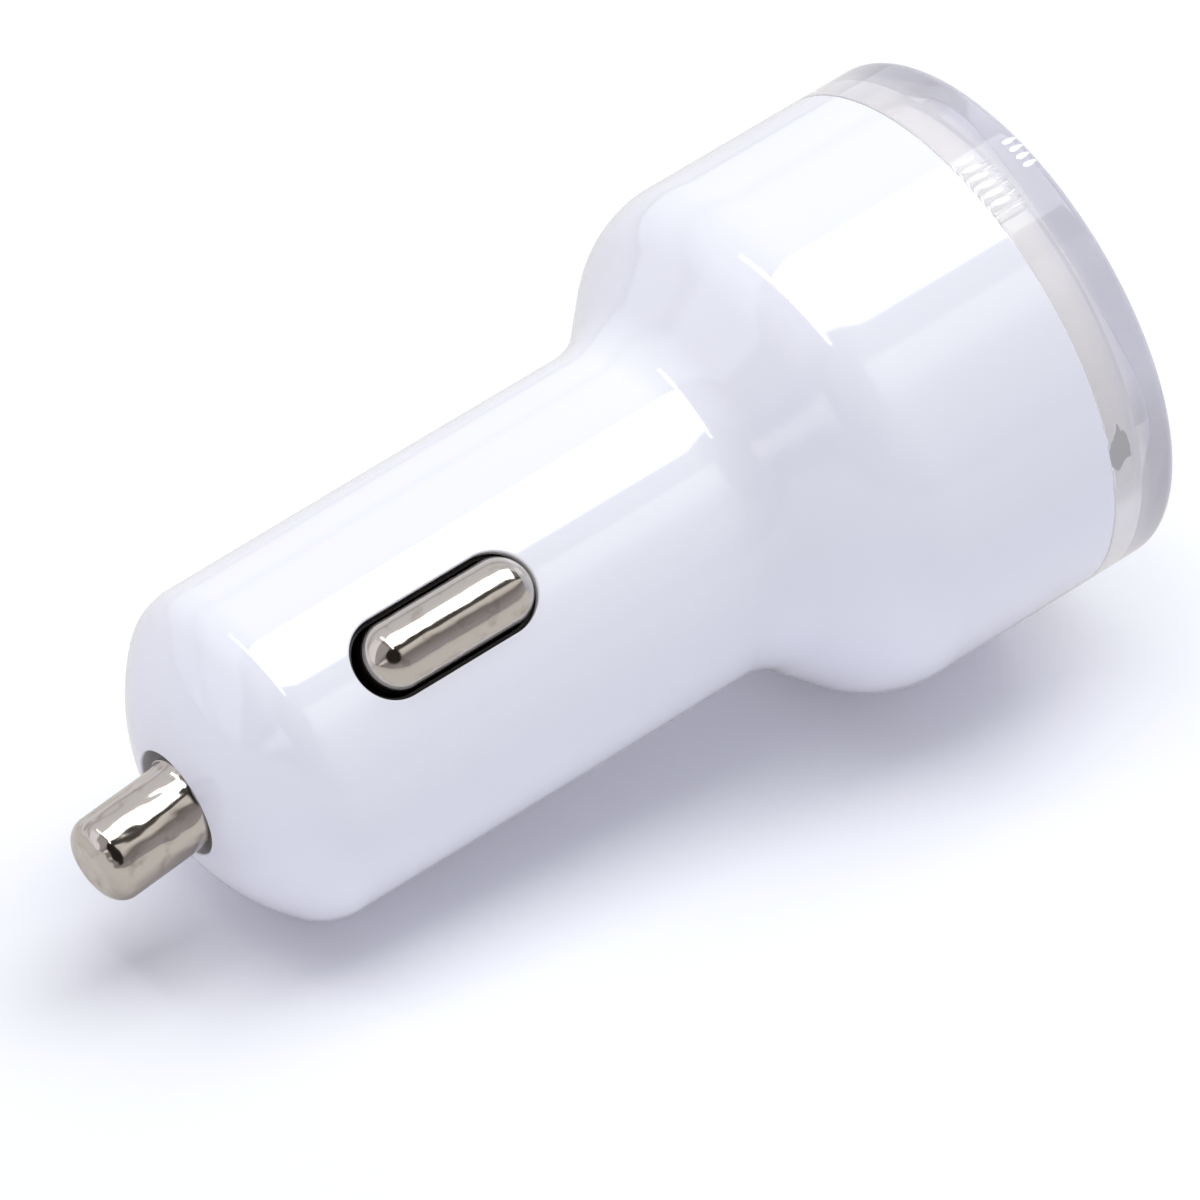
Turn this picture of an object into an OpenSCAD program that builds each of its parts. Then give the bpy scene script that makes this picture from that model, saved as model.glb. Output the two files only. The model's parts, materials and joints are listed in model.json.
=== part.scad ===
// Two-port car charger plug, standing on its outer face with the nose up.
// The frame's origin is the centre of the outer face, and +Z runs along the axis to the nose.

/* [Shell] */
// Diameter of the head
head_d = 32.1; // [31:0.1:34]
// Diameter of the barrel that enters the car's socket
barrel_d = 20.8; // [20:0.1:21.2]
// Length of the barrel's straight root
root_len = 11; // [10:0.1:11.2]
// Draft on the barrel's radius, from its root to the nose
barrel_draft = 0.07; // [0.03:0.01:0.15]
// Height of the nose's crown above the outer face
nose_z = 58.75; // [57:0.25:64]
// Thickness of the moulded wall
wall = 1.7; // [1.4:0.1:1.9]
// Height at which the head's straight side ends
head_h = 15.2; // [13:0.1:17]
// Slope of the shoulder, measured from the axis
shoulder_angle = 45; // [40:1:55]
// Radius that rounds the head into the shoulder
shoulder_round = 6.4; // [4:0.1:8]
// Radius that runs the shoulder into the barrel
neck_round = 5; // [2:0.1:7]
// Radius of the nose's domed crown
crown_r = 13; // [12:0.25:20]
// Radius between the barrel's side and the crown
nose_round = 3.5; // [2.5:0.1:4]
// Depth of solid plastic behind the crown, at the tip's hole
nose_floor = 1.95; // [1.6:0.05:2.6]
// Thickness of the ribs that hold the circuit board
rib_t = 1; // [0.7:0.1:1.4]
// Depth of the grooves that the ribs make for the board
groove_depth = 1.5; // [1:0.1:2]

/* [Light ring] */
// Height of the clear ring
ring_h = 4.6; // [4:0.1:6]
// Thickness of the ring's end wall
ring_floor = 1.7; // [1.4:0.1:2]
// Radius that rounds the ring's outer rim
ring_round = 0.8; // [0.3:0.1:1.4]
// Thickness of the ring's side where it enters the shell
spigot_t = 0.85; // [0.6:0.05:1.1]
// Length of the ring that enters the shell
spigot_len = 3; // [2:0.1:3.4]
// Number of light notches in each row inside the ring
notch_count = 6; // [3:1:9]
// Turn of the light notches from the sockets' row, in degrees
notch_turn = 71; // [65:1:80]
// Radius of a light notch
notch_r = 0.22; // [0.15:0.01:0.3]
// Distance between light notches, along the ring
notch_pitch = 0.62; // [0.5:0.02:0.8]

/* [Face insert] */
// Thickness of the flange behind the ring's end wall
flange_t = 2.5; // [2.2:0.1:2.6]
// Width of plastic round the two port openings
port_margin = 2.1; // [1.6:0.1:2.4]
// Corner radius of the insert
insert_round = 3; // [1:0.1:4]
// Thickness of the lip in front of the metal sockets
port_lip = 1.6; // [1.2:0.1:1.8]
// Width of the lead-in round each port opening
lead_in = 0.35; // [0.2:0.05:0.5]

/* [Sockets] */
// Width of a socket's opening
port_w = 12.5; // [12.4:0.05:12.7]
// Height of a socket's opening
port_h = 5.15; // [5.1:0.05:5.3]
// Distance between the centres of the two sockets
port_pitch = 9.4; // [9:0.1:9.8]
// Thickness of the folded socket steel
socket_t = 0.3; // [0.2:0.05:0.35]
// Length of a socket's steel case
socket_len = 12.4; // [11.5:0.1:13]
// Corner radius inside a socket
socket_round = 0.4; // [0.3:0.05:0.8]
// Gap at each end of a socket's tongue
tongue_side = 0.7; // [0.6:0.05:0.9]
// Thickness of a socket's tongue
tongue_t = 1.84; // [1.7:0.02:1.9]
// Space between the tongue and the wall behind it
tongue_back = 0.72; // [0.6:0.02:0.8]
// Distance from a socket's mouth to its tongue
tongue_inset = 0.9; // [0.6:0.1:1.5]
// Length of the plastic block behind the tongue
block_len = 3.8; // [3.4:0.1:4.4]
// Length of the block that stands on the board behind the steel case
block_foot = 1; // [0.7:0.1:1.5]
// Distance from the tongue's end to its contact strips
strip_inset = 0.7; // [0.5:0.1:1.2]
// Width of a socket's contact strips
strip_w = 0.95; // [0.8:0.05:1.1]
// Thickness of a socket's contact strips
strip_t = 0.2; // [0.15:0.01:0.25]
// Distance between the middles of the two inner contact strips
strip_gap = 2; // [1.9:0.1:2.2]
// Distance from an inner contact strip to the outer one beside it
strip_step = 2.5; // [2.3:0.1:2.7]
// Length of a contact strip's foot on the board
strip_foot = 1.1; // [0.8:0.1:1.3]
// Width of the sprung fingers cut in the steel case
finger_w = 1.4; // [1.1:0.1:1.8]
// Length of the sprung fingers
finger_len = 5.6; // [4.5:0.1:6]
// Distance that the fingers are bent inwards
finger_bend = 0.3; // [0.2:0.02:0.36]
// Distance of the fingers from the middle of the socket
finger_y = 3.2; // [2.8:0.1:4]
// Distance from the fingers' roots to the end of the case
finger_root = 2.5; // [2:0.1:3.5]
// Gap cut round each finger
finger_slit = 0.3; // [0.2:0.05:0.4]
// Width of the case's solder legs
case_leg = 1.2; // [0.8:0.1:1.4]

/* [Circuit board] */
// Thickness of the board
board_t = 1.6; // [1.2:0.1:1.8]
// Gap between the head's wall and the board's edge
board_edge_gap = 0.6; // [0.3:0.1:1]

/* [Side contacts] */
// Distance from the nose's crown to the middle of the side contacts
contact_drop = 15.45; // [15:0.05:17]
// Length of a slot in the barrel
slot_len = 11.9; // [11:0.1:12.4]
// Width of a slot in the barrel
slot_w = 4.85; // [4.5:0.05:5]
// Gap between a slot and its contact
slot_gap = 0.36; // [0.25:0.01:0.4]
// Height of a contact's crest above the barrel
contact_rise = 1.3; // [1:0.05:1.6]
// Travel of a contact when it is pressed
contact_travel = 1.2; // [0.8:0.05:1.3]
// Thickness of the shell's lip over the black guide in each slot
slot_lip = 0.55; // [0.4:0.05:0.7]
// Width of the guide's seat round a slot
guide_w = 0.8; // [0.6:0.05:1]
// Gap between a guide and the contact that slides in it
guide_gap = 0.12; // [0.08:0.01:0.15]
// Thickness of the drawn contact metal
contact_t = 0.4; // [0.3:0.02:0.45]
// Width of the flange that holds a contact in its slot
contact_flange = 1.05; // [0.9:0.05:1.1]

/* [Tip contact] */
// Diameter of the tip contact
tip_d = 5.2; // [4.8:0.1:5.4]
// Distance that the tip stands above the nose's crown
tip_rise = 5.85; // [5:0.05:7]
// Radius of the tip's rounded end
tip_round = 1.2; // [0.6:0.1:1.6]
// Width of the collar at the tip's root
collar_w = 0.5; // [0.3:0.05:0.6]
// Height of the collar above the middle of the nose's floor
collar_h = 0.95; // [0.8:0.05:1.2]
// Radius that runs the tip into its collar
collar_flare = 0.75; // [0.5:0.05:1.2]
// Gap between the collar and its hole
hole_gap = 0.15; // [0.12:0.01:0.25]
// Width of the tip's flange inside the shell
tip_flange = 1.1; // [0.8:0.05:1.3]
// Travel of the tip when it is pressed
tip_travel = 2.8; // [2:0.1:3]
// Space left between the pressed tip and the board's end
tip_room = 1.45; // [1:0.05:2]
// Thickness of the drawn tip metal
tip_t = 0.45; // [0.35:0.05:0.5]
// Lean of the loose tip in its hole, in degrees
tip_lean = 4.5; // [0:0.5:4.5]

/* [Springs] */
// Wire diameter of the tip's coil spring
coil_wire = 0.4; // [0.3:0.05:0.5]
// Mean radius of the tip's coil spring
coil_r = 1.5; // [1.3:0.05:1.6]
// Number of turns in the tip's coil spring
coil_turns = 8; // [6:1:10]
// Height left for a bowed spring behind its pressed contact
bow_room = 1.4; // [1.2:0.1:1.8]
// Width of the bowed springs behind the side contacts
bow_w = 3; // [2.4:0.1:3.2]
// Thickness of the bowed springs
bow_t = 0.25; // [0.15:0.05:0.3]
// Length of the bowed springs
bow_len = 11.6; // [10:0.1:12]
// Length of a bowed spring's flat feet
bow_foot = 1; // [0.8:0.1:1.5]

/* [Electronics] */
// Clear space between parts on the board
part_gap = 0.45; // [0.4:0.05:0.6]
// Diameter of the inductor's core
inductor_d = 6.8; // [6:0.1:7.2]
// Height of the inductor's core
inductor_h = 4.8; // [4:0.1:5.2]
// Thickness of the core's two flanges
inductor_rim = 0.9; // [0.6:0.1:1.1]
// Depth of the copper below the flanges' edge
winding_drop = 0.4; // [0.2:0.1:0.8]
// Diameter of the two can capacitors
can_d = 6.3; // [5:0.1:6.4]
// Length of the input capacitor
input_can_len = 9.5; // [8:0.1:10]
// Height of the output capacitor
output_can_len = 6; // [5:0.1:6.5]
// Radius of the groove rolled in a can
can_groove = 0.3; // [0.2:0.05:0.4]
// Height of the groove above a can's base
can_groove_z = 1.3; // [1:0.1:1.6]
// Diameter of the input capacitor's leads
lead_d = 0.5; // [0.4:0.05:0.6]
// Distance between the input capacitor's leads
lead_pitch = 2.5; // [2:0.1:2.8]
// Length of a lead before it bends to the board
lead_len = 1; // [0.6:0.1:1.2]
// Length of the converter chip
chip_len = 4.9; // [4.6:0.1:5.2]
// Width of the converter chip
chip_w = 3.9; // [3.6:0.1:4.1]
// Height of the converter chip
chip_h = 1.45; // [1.2:0.05:1.6]
// Distance between the chip's legs
leg_pitch = 1.27; // [1:0.01:1.27]
// Width of the chip's legs
leg_w = 0.4; // [0.3:0.05:0.5]
// Thickness of the chip's legs and of the diode's tabs
leg_t = 0.2; // [0.15:0.05:0.25]
// Reach of the chip's legs beyond its body
leg_reach = 1; // [0.8:0.1:1.2]
// Gap under a moulded body that stands on its legs
body_lift = 0.1; // [0.05:0.05:0.1]
// Length of the rectifier diode
diode_len = 4.3; // [4:0.1:4.5]
// Width of the rectifier diode
diode_w = 2.6; // [2.3:0.1:2.8]
// Height of the rectifier diode
diode_h = 2.2; // [1.9:0.1:2.4]
// Width of the diode's folded tabs
tab_w = 1.4; // [1.2:0.1:1.6]
// Length of the diode's folded tabs
tab_len = 1; // [0.8:0.1:1.2]
// Reach of a folded tab beyond the diode's end
tab_reach = 0.2; // [0.1:0.05:0.3]
// Length of the fuse
fuse_len = 3.2; // [2.8:0.1:3.6]
// Width of the fuse
fuse_w = 1.6; // [1.4:0.1:1.8]
// Height of the fuse
fuse_h = 0.6; // [0.5:0.05:0.8]
// Length of a chip resistor
resistor_len = 2; // [1.6:0.1:2]
// Width of a chip resistor
resistor_w = 1.25; // [0.8:0.05:1.25]
// Height of a chip resistor
resistor_h = 0.5; // [0.4:0.05:0.6]
// Length of a chip capacitor
ceramic_len = 3.2; // [2:0.1:3.2]
// Width of a chip capacitor
ceramic_w = 1.6; // [1.2:0.1:1.6]
// Height of a chip capacitor
ceramic_h = 1.1; // [0.8:0.1:1.3]
// Width of an indicator light
led_w = 2.8; // [2:0.1:3]
// Height of an indicator light off the board
led_h = 1.9; // [1:0.1:2]
// Width of the rim round an indicator light's window
led_rim = 0.35; // [0.25:0.05:0.5]
// Depth of an indicator light's window
led_window = 0.3; // [0.1:0.05:0.5]

/* [Fits] */
// Gap between pieces that slide together when they are assembled
fit_gap = 0.1; // [0.05:0.01:0.15]
// Gap between the two free sides of pieces that only lie side by side
side_gap = 0.05; // [0.02:0.01:0.1]

/* [Hidden] */
$fn = 96;

// Cuts run past a face by this much, and a hull joins sheets this thin.
over = 1;
sheet = 0.01;

// Shell
head_r = head_d / 2;
barrel_r = barrel_d / 2;
mouth_r = head_r - wall;
bore_r = barrel_r - wall;
slope = [cos(shoulder_angle), sin(shoulder_angle)];
shoulder_rounds = shoulder_round + neck_round;
shoulder_run = barrel_r + neck_round - head_r + shoulder_round;
neck_z = head_h + (shoulder_rounds - shoulder_run * slope.x) / slope.y;
root_z = neck_z + root_len;
nose_r = barrel_r - barrel_draft;
crown_z = nose_z - crown_r;
edge_x = nose_r - nose_round;
edge_z = crown_z + sqrt(pow(crown_r - nose_round, 2) - pow(edge_x, 2));
nose_floor_z = nose_z - nose_floor;

// Light ring and face insert
spigot_r = mouth_r - fit_gap;
ring_bore_r = spigot_r - spigot_t;
flange_z = ring_floor + flange_t;
insert_x = port_pitch + port_h + 2 * port_margin;
insert_y = port_w + 2 * port_margin;

// Sockets
case_w = port_w + 2 * socket_t;
case_h = port_h + 2 * socket_t;
case_z = port_lip + side_gap;
case_end = case_z + socket_len;
core_end = case_end + side_gap + block_foot;
core_z = core_end - block_len;
tongue_x = port_h / 2 - tongue_back - tongue_t;
tongue_w = port_w - 2 * tongue_side;
strips_y = [-strip_gap / 2 - strip_step, -strip_gap / 2, strip_gap / 2, strip_gap / 2 + strip_step];

// Side contacts and their bowed springs
contact_z = nose_z - contact_drop;
contact_r = slot_w / 2 - slot_gap;
contact_half = slot_len / 2 - slot_gap;
contact_crest = barrel_r + contact_rise;
contact_flange_r = contact_r + contact_flange;
contact_flange_y = sqrt(pow(nose_r - wall, 2) - pow(contact_flange_r, 2)) - fit_gap;
contact_seat_y = contact_flange_y - contact_t;
board_nose_half = contact_seat_y - contact_travel - bow_room;
bow_rise = contact_seat_y - side_gap - board_nose_half;
bow_sag = bow_rise - bow_t;
bow_half = bow_len / 2 - bow_foot;
bow_r = (pow(bow_half, 2) + pow(bow_sag, 2)) / (2 * bow_sag);

// Circuit board
board_z = flange_z + fit_gap;
board_head_half = mouth_r - spigot_t - board_edge_gap;
board_neck_half = bore_r - board_edge_gap;
board_step_z = contact_z - contact_half - contact_flange - over;
board_face = board_t / 2;

// Tip contact and its coil spring, along their own leaned axis
tip_r = tip_d / 2;
collar_r = tip_r + collar_w;
hole_r = collar_r + hole_gap;
tip_pivot_z = nose_z - nose_floor / 2 - fit_gap;
tip_top = nose_z + tip_rise - tip_pivot_z;
tip_flange_r = collar_r + tip_flange;
tip_seat = nose_floor_z - tip_pivot_z - tip_flange_r * sin(tip_lean) - side_gap;
tip_pocket = tip_t + 2 * tip_flange_r * sin(tip_lean) + over;
flare_r = (pow(collar_w, 2) + pow(collar_flare, 2)) / (2 * collar_w);
board_end = nose_floor_z - tip_pocket - tip_travel - tip_room;
coil_low = board_end - tip_pivot_z + (coil_r + coil_wire / 2) * sin(tip_lean) + coil_wire / 2 + side_gap;
coil_high = tip_top - tip_t - coil_wire / 2 - side_gap;
coil_steps = 14;
coil_sides = 6;

// Electronics: each row starts a part gap after what it follows
parts_z = core_end + side_gap + strip_foot + part_gap;
can_r = can_d / 2;
groove_r = inductor_d / 4;
inductor_z = parts_z + can_d + part_gap + inductor_d / 2;
diode_z = inductor_z + inductor_d / 2 + part_gap + tab_reach;
chip_y = part_gap + leg_reach + chip_w / 2;
input_can_z = parts_z + chip_len + part_gap + lead_d / 2 + lead_len;
led_y = board_head_half - led_w / 2 - part_gap;
led_z = board_z + part_gap + led_w / 2;

// The side to which the tip leans: -1 is -X
lean_side = -1;

module rounded_rect(size_x, size_y, radius) {
    square([size_x - 2 * radius, size_y], center = true);
    square([size_x, size_y - 2 * radius], center = true);
    for (side_x = [-1, 1], side_y = [-1, 1])
        translate([side_x * (size_x / 2 - radius), side_y * (size_y / 2 - radius)])
            circle(radius);
}

// A stadium along Y, with its length measured from end to end.
module stadium(length, radius) {
    square([2 * radius, length - 2 * radius], center = true);
    for (side = [-1, 1])
        translate([0, side * (length / 2 - radius)]) circle(radius);
}

// A stadium at the height of the side contacts, extruded along Y and drawn for +Y.
module side_prism(length, radius, low_y, high_y) {
    translate([0, high_y, contact_z])
        rotate([90, 0, 0])
            linear_extrude(high_y - low_y) stadium(length, radius);
}

// Turns a flat outline drawn in X and Z so that it extrudes along Y, about its middle.
module across(width) {
    rotate([90, 0, 0]) translate([0, 0, -width / 2]) linear_extrude(width) children();
}

// Half of the body's section, drawn in by an inset for the inner wall.
module body_profile(inset, low_z, high_z) {
    low = [head_r - shoulder_round, head_h];
    high = [barrel_r + neck_round, neck_z];
    crown = [0, crown_z];
    edge = [edge_x, edge_z];
    reach = 2 * (edge - crown);
    intersection() {
        translate([0, low_z]) square([head_r, high_z - low_z]);
        union() {
            translate([0, low_z]) square([head_r - inset, head_h - low_z]);
            translate(low) circle(shoulder_round - inset);
            difference() {
                polygon([
                    [0, head_h],
                    low,
                    low + (shoulder_round - inset) * slope,
                    high - (neck_round + inset) * slope,
                    high,
                    [0, neck_z]
                ]);
                translate(high) circle(neck_round + inset);
            }
            polygon([
                [0, neck_z],
                [barrel_r - inset, neck_z],
                [barrel_r - inset, root_z],
                [nose_r - inset, edge_z],
                [0, edge_z]
            ]);
            translate(edge) circle(nose_round - inset);
            intersection() {
                translate(crown) circle(crown_r - inset);
                polygon([crown, crown + reach, [0, crown_z + reach.y]]);
            }
        }
    }
}

// Ribs on both faces of the board, from inside the shell's wall to past the board's edge.
module board_ribs(wall_r, board_half, low_z, high_z) {
    for (side_x = [-1, 1], side_y = [-1, 1])
        translate([
            side_x * (board_face + fit_gap + rib_t / 2),
            side_y * (board_half - groove_depth + wall_r + wall / 2) / 2,
            (low_z + high_z) / 2
        ])
            cube([rib_t, wall_r + wall / 2 - board_half + groove_depth, high_z - low_z], center = true);
}

// The seat of a guide, drawn for +Y: a stadium that ends at a round wall inside the barrel.
module guide_seat(gap) {
    intersection() {
        side_prism(slot_len + 2 * (guide_w - gap), slot_w / 2 + guide_w - gap, barrel_r / 2, barrel_r);
        cylinder(h = nose_z, r = nose_r - slot_lip - gap);
    }
}

// The one-piece white shell: head, shoulder, barrel and nose.
module shell() {
    color("white")
        difference() {
            union() {
                rotate_extrude()
                    difference() {
                        body_profile(0, ring_h, nose_z + over);
                        body_profile(wall, ring_h - over, nose_floor_z);
                    }
                board_ribs(mouth_r, board_head_half, ring_h + spigot_len + fit_gap, head_h);
                board_ribs(bore_r, board_neck_half, neck_z, board_step_z);
            }
            translate([0, 0, nose_floor_z - over]) cylinder(h = nose_floor + 2 * over, r = hole_r);
            translate([0, 0, nose_floor_z - tip_pocket])
                cylinder(h = tip_pocket, r = tip_flange_r + 2 * fit_gap);
            for (side = [0, 180])
                rotate([0, 0, side]) {
                    side_prism(slot_len, slot_w / 2, barrel_r / 2, barrel_r + over);
                    guide_seat(0);
                }
        }
}

// The clear ring that closes the head round the white insert and carries the light.
module light_ring() {
    notch_step = notch_pitch / ring_bore_r * 180 / PI;
    color("lavender", 0.5)
        difference() {
            rotate_extrude()
                difference() {
                    union() {
                        translate([0, ring_round]) square([head_r, ring_h - ring_round]);
                        square([head_r - ring_round, ring_h]);
                        translate([head_r - ring_round, ring_round]) circle(ring_round);
                        square([spigot_r, ring_h + spigot_len]);
                    }
                    translate([0, ring_floor]) square([ring_bore_r, ring_h + spigot_len]);
                }
            translate([0, 0, -over])
                linear_extrude(ring_floor + 2 * over)
                    rounded_rect(insert_x + 2 * fit_gap, insert_y + 2 * fit_gap, insert_round + fit_gap);
            for (row = [-notch_turn, 180 - notch_turn], place = [0 : notch_count - 1])
                rotate([0, 0, row + (place - (notch_count - 1) / 2) * notch_step])
                    translate([ring_bore_r, 0, ring_floor])
                        cylinder(h = ring_h + spigot_len, r = notch_r, $fn = 24);
        }
}

// One port opening: a lip round the mouth and a pocket for the steel case behind it.
module port_opening() {
    mouth_x = port_h + 2 * side_gap;
    mouth_y = port_w + 2 * side_gap;
    translate([0, 0, -over]) linear_extrude(flange_z + 2 * over) square([mouth_x, mouth_y], center = true);
    translate([0, 0, port_lip])
        linear_extrude(flange_z)
            rounded_rect(case_h + 2 * fit_gap, case_w + 2 * fit_gap, socket_round + socket_t + fit_gap);
    hull() {
        translate([0, 0, -sheet])
            linear_extrude(sheet) square([mouth_x + 2 * lead_in, mouth_y + 2 * lead_in], center = true);
        translate([0, 0, lead_in]) linear_extrude(sheet) square([mouth_x, mouth_y], center = true);
    }
}

// The white insert that frames both ports and shows through the clear ring.
module face_insert() {
    color("whitesmoke")
        difference() {
            union() {
                linear_extrude(ring_floor) rounded_rect(insert_x, insert_y, insert_round);
                translate([0, 0, ring_floor]) cylinder(h = flange_t, r = ring_bore_r - notch_r - fit_gap);
            }
            for (side = [-1, 1])
                translate([side * port_pitch / 2, 0, 0]) port_opening();
        }
}

// The board lies in the plane of the axis and the side contacts, and narrows with the shell.
module circuit_board() {
    taper_low = head_h + (board_head_half - board_neck_half) * (1 - slope.x);
    taper_high = taper_low + board_head_half - board_neck_half;
    half = [
        [board_head_half, board_z],
        [board_head_half, taper_low],
        [board_neck_half, taper_high],
        [board_neck_half, board_step_z],
        [board_nose_half, board_step_z],
        [board_nose_half, board_end]
    ];
    other = [for (point = [len(half) - 1 : -1 : 0]) [-half[point].x, half[point].y]];
    color("darkgreen")
        rotate([90, 0, 90])
            translate([0, 0, -board_face])
                linear_extrude(board_t) polygon(concat(half, other));
}

// A sprung finger in a broad side of the steel case, bent inwards from its root.
module case_finger(side_x, side_y) {
    root_z = case_end - finger_root;
    bend = asin(finger_bend / finger_len);
    translate([side_x * (case_h - socket_t) / 2, side_y * finger_y, root_z])
        rotate([0, side_x * bend, 0])
            translate([-socket_t / 2, -finger_w / 2, -finger_len])
                cube([socket_t, finger_w, finger_len + socket_t / 2]);
}

// A folded steel case, drawn for the side of the board that +X faces.
module usb_case() {
    root_z = case_end - finger_root;
    slit_w = finger_w + 2 * finger_slit;
    leg_h = port_pitch / 2 - case_h / 2 - board_face;
    translate([port_pitch / 2, 0, 0]) {
        difference() {
            translate([0, 0, case_z])
                linear_extrude(socket_len)
                    difference() {
                        rounded_rect(case_h, case_w, socket_round + socket_t);
                        rounded_rect(port_h, port_w, socket_round);
                    }
            for (side_y = [-1, 1])
                translate([0, side_y * finger_y, root_z - (finger_len + finger_slit) / 2])
                    cube([case_h + over, slit_w, finger_len + finger_slit], center = true);
        }
        for (side_x = [-1, 1], side_y = [-1, 1])
            case_finger(side_x, side_y);
        for (side_y = [-1, 1], leg_z = [board_z + fit_gap, case_end - 2 * case_leg])
            translate([-case_h / 2 - leg_h, side_y * (case_w - socket_t) / 2 - socket_t / 2, leg_z])
                cube([leg_h + socket_round + socket_t, socket_t, case_leg]);
    }
}

// The moulded tongue and block inside a case, with grooves for the strips.
module usb_core() {
    block_x = port_h - 2 * side_gap;
    foot_h = port_pitch / 2 + block_x / 2 - board_face;
    groove = strip_t + side_gap;
    translate([port_pitch / 2, 0, 0])
        difference() {
            union() {
                translate([tongue_x, -tongue_w / 2, case_z + tongue_inset])
                    cube([tongue_t, tongue_w, core_z + side_gap - case_z - tongue_inset]);
                translate([-block_x / 2, -port_w / 2 + socket_round, core_z])
                    cube([block_x, port_w - 2 * socket_round, block_len]);
                translate([block_x / 2 - foot_h, -port_w / 2 + socket_round, core_end - block_foot])
                    cube([foot_h, port_w - 2 * socket_round, block_foot]);
            }
            for (strip_y = strips_y)
                translate([tongue_x - groove, strip_y - strip_w / 2 - side_gap, core_z - over])
                    cube([groove, strip_w + 2 * side_gap, block_len + 2 * over]);
        }
}

// Four contact strips: along the tongue, through the block and down to the board.
module usb_strips() {
    strip_x = port_pitch / 2 + tongue_x;
    low_z = case_z + tongue_inset + strip_inset;
    back_z = core_end + side_gap + strip_t;
    for (strip_y = strips_y)
        translate([0, strip_y, 0])
            across(strip_w)
                polygon([
                    [strip_x, low_z],
                    [strip_x, back_z],
                    [board_face + strip_t, back_z],
                    [board_face + strip_t, back_z + strip_foot - strip_t],
                    [board_face, back_z + strip_foot - strip_t],
                    [board_face, back_z - strip_t],
                    [strip_x - strip_t, back_z - strip_t],
                    [strip_x - strip_t, low_z]
                ]);
}

// Places a piece about the tip's own axis, which leans in the loose hole.
module along_tip() {
    translate([0, 0, tip_pivot_z]) rotate([0, lean_side * tip_lean, 0]) children();
}

// The drawn tip: a closed cap with a rounded end, a flared collar and a flange inside the shell.
module tip_contact() {
    inner_r = tip_r - tip_t;
    inner_top = tip_top - tip_t;
    flare_z = collar_h + collar_flare;
    color("silver")
        along_tip()
            rotate_extrude()
                difference() {
                    union() {
                        translate([0, tip_seat - tip_t]) square([tip_flange_r, tip_t]);
                        translate([0, tip_seat - tip_t]) square([collar_r, collar_h - tip_seat + tip_t]);
                        difference() {
                            translate([0, collar_h]) square([collar_r, collar_flare]);
                            translate([tip_r + flare_r, flare_z]) circle(flare_r);
                        }
                        translate([0, flare_z]) square([tip_r, tip_top - tip_round - flare_z]);
                        square([tip_r - tip_round, tip_top]);
                        translate([tip_r - tip_round, tip_top - tip_round])
                            intersection() {
                                circle(tip_round);
                                square(tip_round);
                            }
                    }
                    translate([0, tip_seat - tip_t - over])
                        square([inner_r, inner_top - tip_round - tip_seat + tip_t + over]);
                    square([inner_r - tip_round + tip_t, inner_top]);
                    translate([tip_r - tip_round, tip_top - tip_round]) circle(tip_round - tip_t);
                }
}

// The coil spring that pushes the tip out, with its lowest turn on the board's end.
function coil_point(step, side) =
    let (
        turn = 360 * step / coil_steps,
        rise = coil_low + (coil_high - coil_low) * step / (coil_turns * coil_steps),
        around = 360 * side / coil_sides,
        radius = coil_r + coil_wire / 2 * cos(around)
    )
    [radius * cos(turn), radius * sin(turn), rise + coil_wire / 2 * sin(around)];

module tip_spring() {
    rings = coil_turns * coil_steps;
    points = [for (step = [0 : rings], side = [0 : coil_sides - 1]) coil_point(step, side)];
    walls = [
        for (step = [0 : rings - 1], side = [0 : coil_sides - 1])
            let (next = (side + 1) % coil_sides, base = step * coil_sides)
                [base + side, base + coil_sides + side, base + coil_sides + next, base + next]
    ];
    first = [for (side = [0 : coil_sides - 1]) side];
    last = [for (side = [coil_sides - 1 : -1 : 0]) rings * coil_sides + side];
    color("gray")
        along_tip() polyhedron(points, concat(walls, [first, last]));
}

// A side contact, drawn for +Y: a drawn stadium dome with a flange that holds it in its slot.
module dome_solid(shrink) {
    radius = contact_r - shrink;
    dome_y = contact_crest - contact_r;
    half = contact_half - contact_r;
    translate([0, dome_y, contact_z]) {
        translate([0, 0, -half]) cylinder(h = 2 * half, r = radius);
        for (side = [-1, 1])
            translate([0, 0, side * half]) sphere(radius);
    }
}

module side_contact() {
    dome_y = contact_crest - contact_r;
    length = 2 * contact_half;
    inner = contact_r - contact_t;
    color("silver")
        difference() {
            union() {
                dome_solid(0);
                side_prism(length, contact_r, contact_seat_y, dome_y);
                side_prism(length + 2 * contact_flange, contact_flange_r, contact_seat_y, contact_flange_y);
            }
            dome_solid(contact_t);
            side_prism(length - 2 * contact_t, inner, contact_seat_y - contact_r, dome_y);
        }
}

// A black guide, drawn for +Y: it fills its seat in the shell and leaves the contact room to slide.
module contact_guide() {
    color("black")
        difference() {
            guide_seat(side_gap);
            cylinder(h = nose_z, r = bore_r);
            side_prism(2 * (contact_half + guide_gap), contact_r + guide_gap, 0, barrel_r + over);
        }
}

// A bowed spring, drawn for +Y: both feet stand on the board's edge under the contact.
module side_spring() {
    color("gray")
        translate([0, board_nose_half, contact_z])
            rotate([90, 0, 90])
                translate([0, 0, -bow_w / 2])
                    linear_extrude(bow_w) {
                        intersection() {
                            translate([bow_rise - bow_r - bow_t, 0])
                                difference() {
                                    circle(bow_r + bow_t);
                                    circle(bow_r);
                                }
                            translate([0, -bow_half - bow_t]) square([bow_rise, 2 * bow_half + 2 * bow_t]);
                        }
                        for (side = [-1, 1])
                            translate([bow_t / 2, side * (bow_half + bow_foot / 2)])
                                square([bow_t, bow_foot], center = true);
                    }
}

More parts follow.
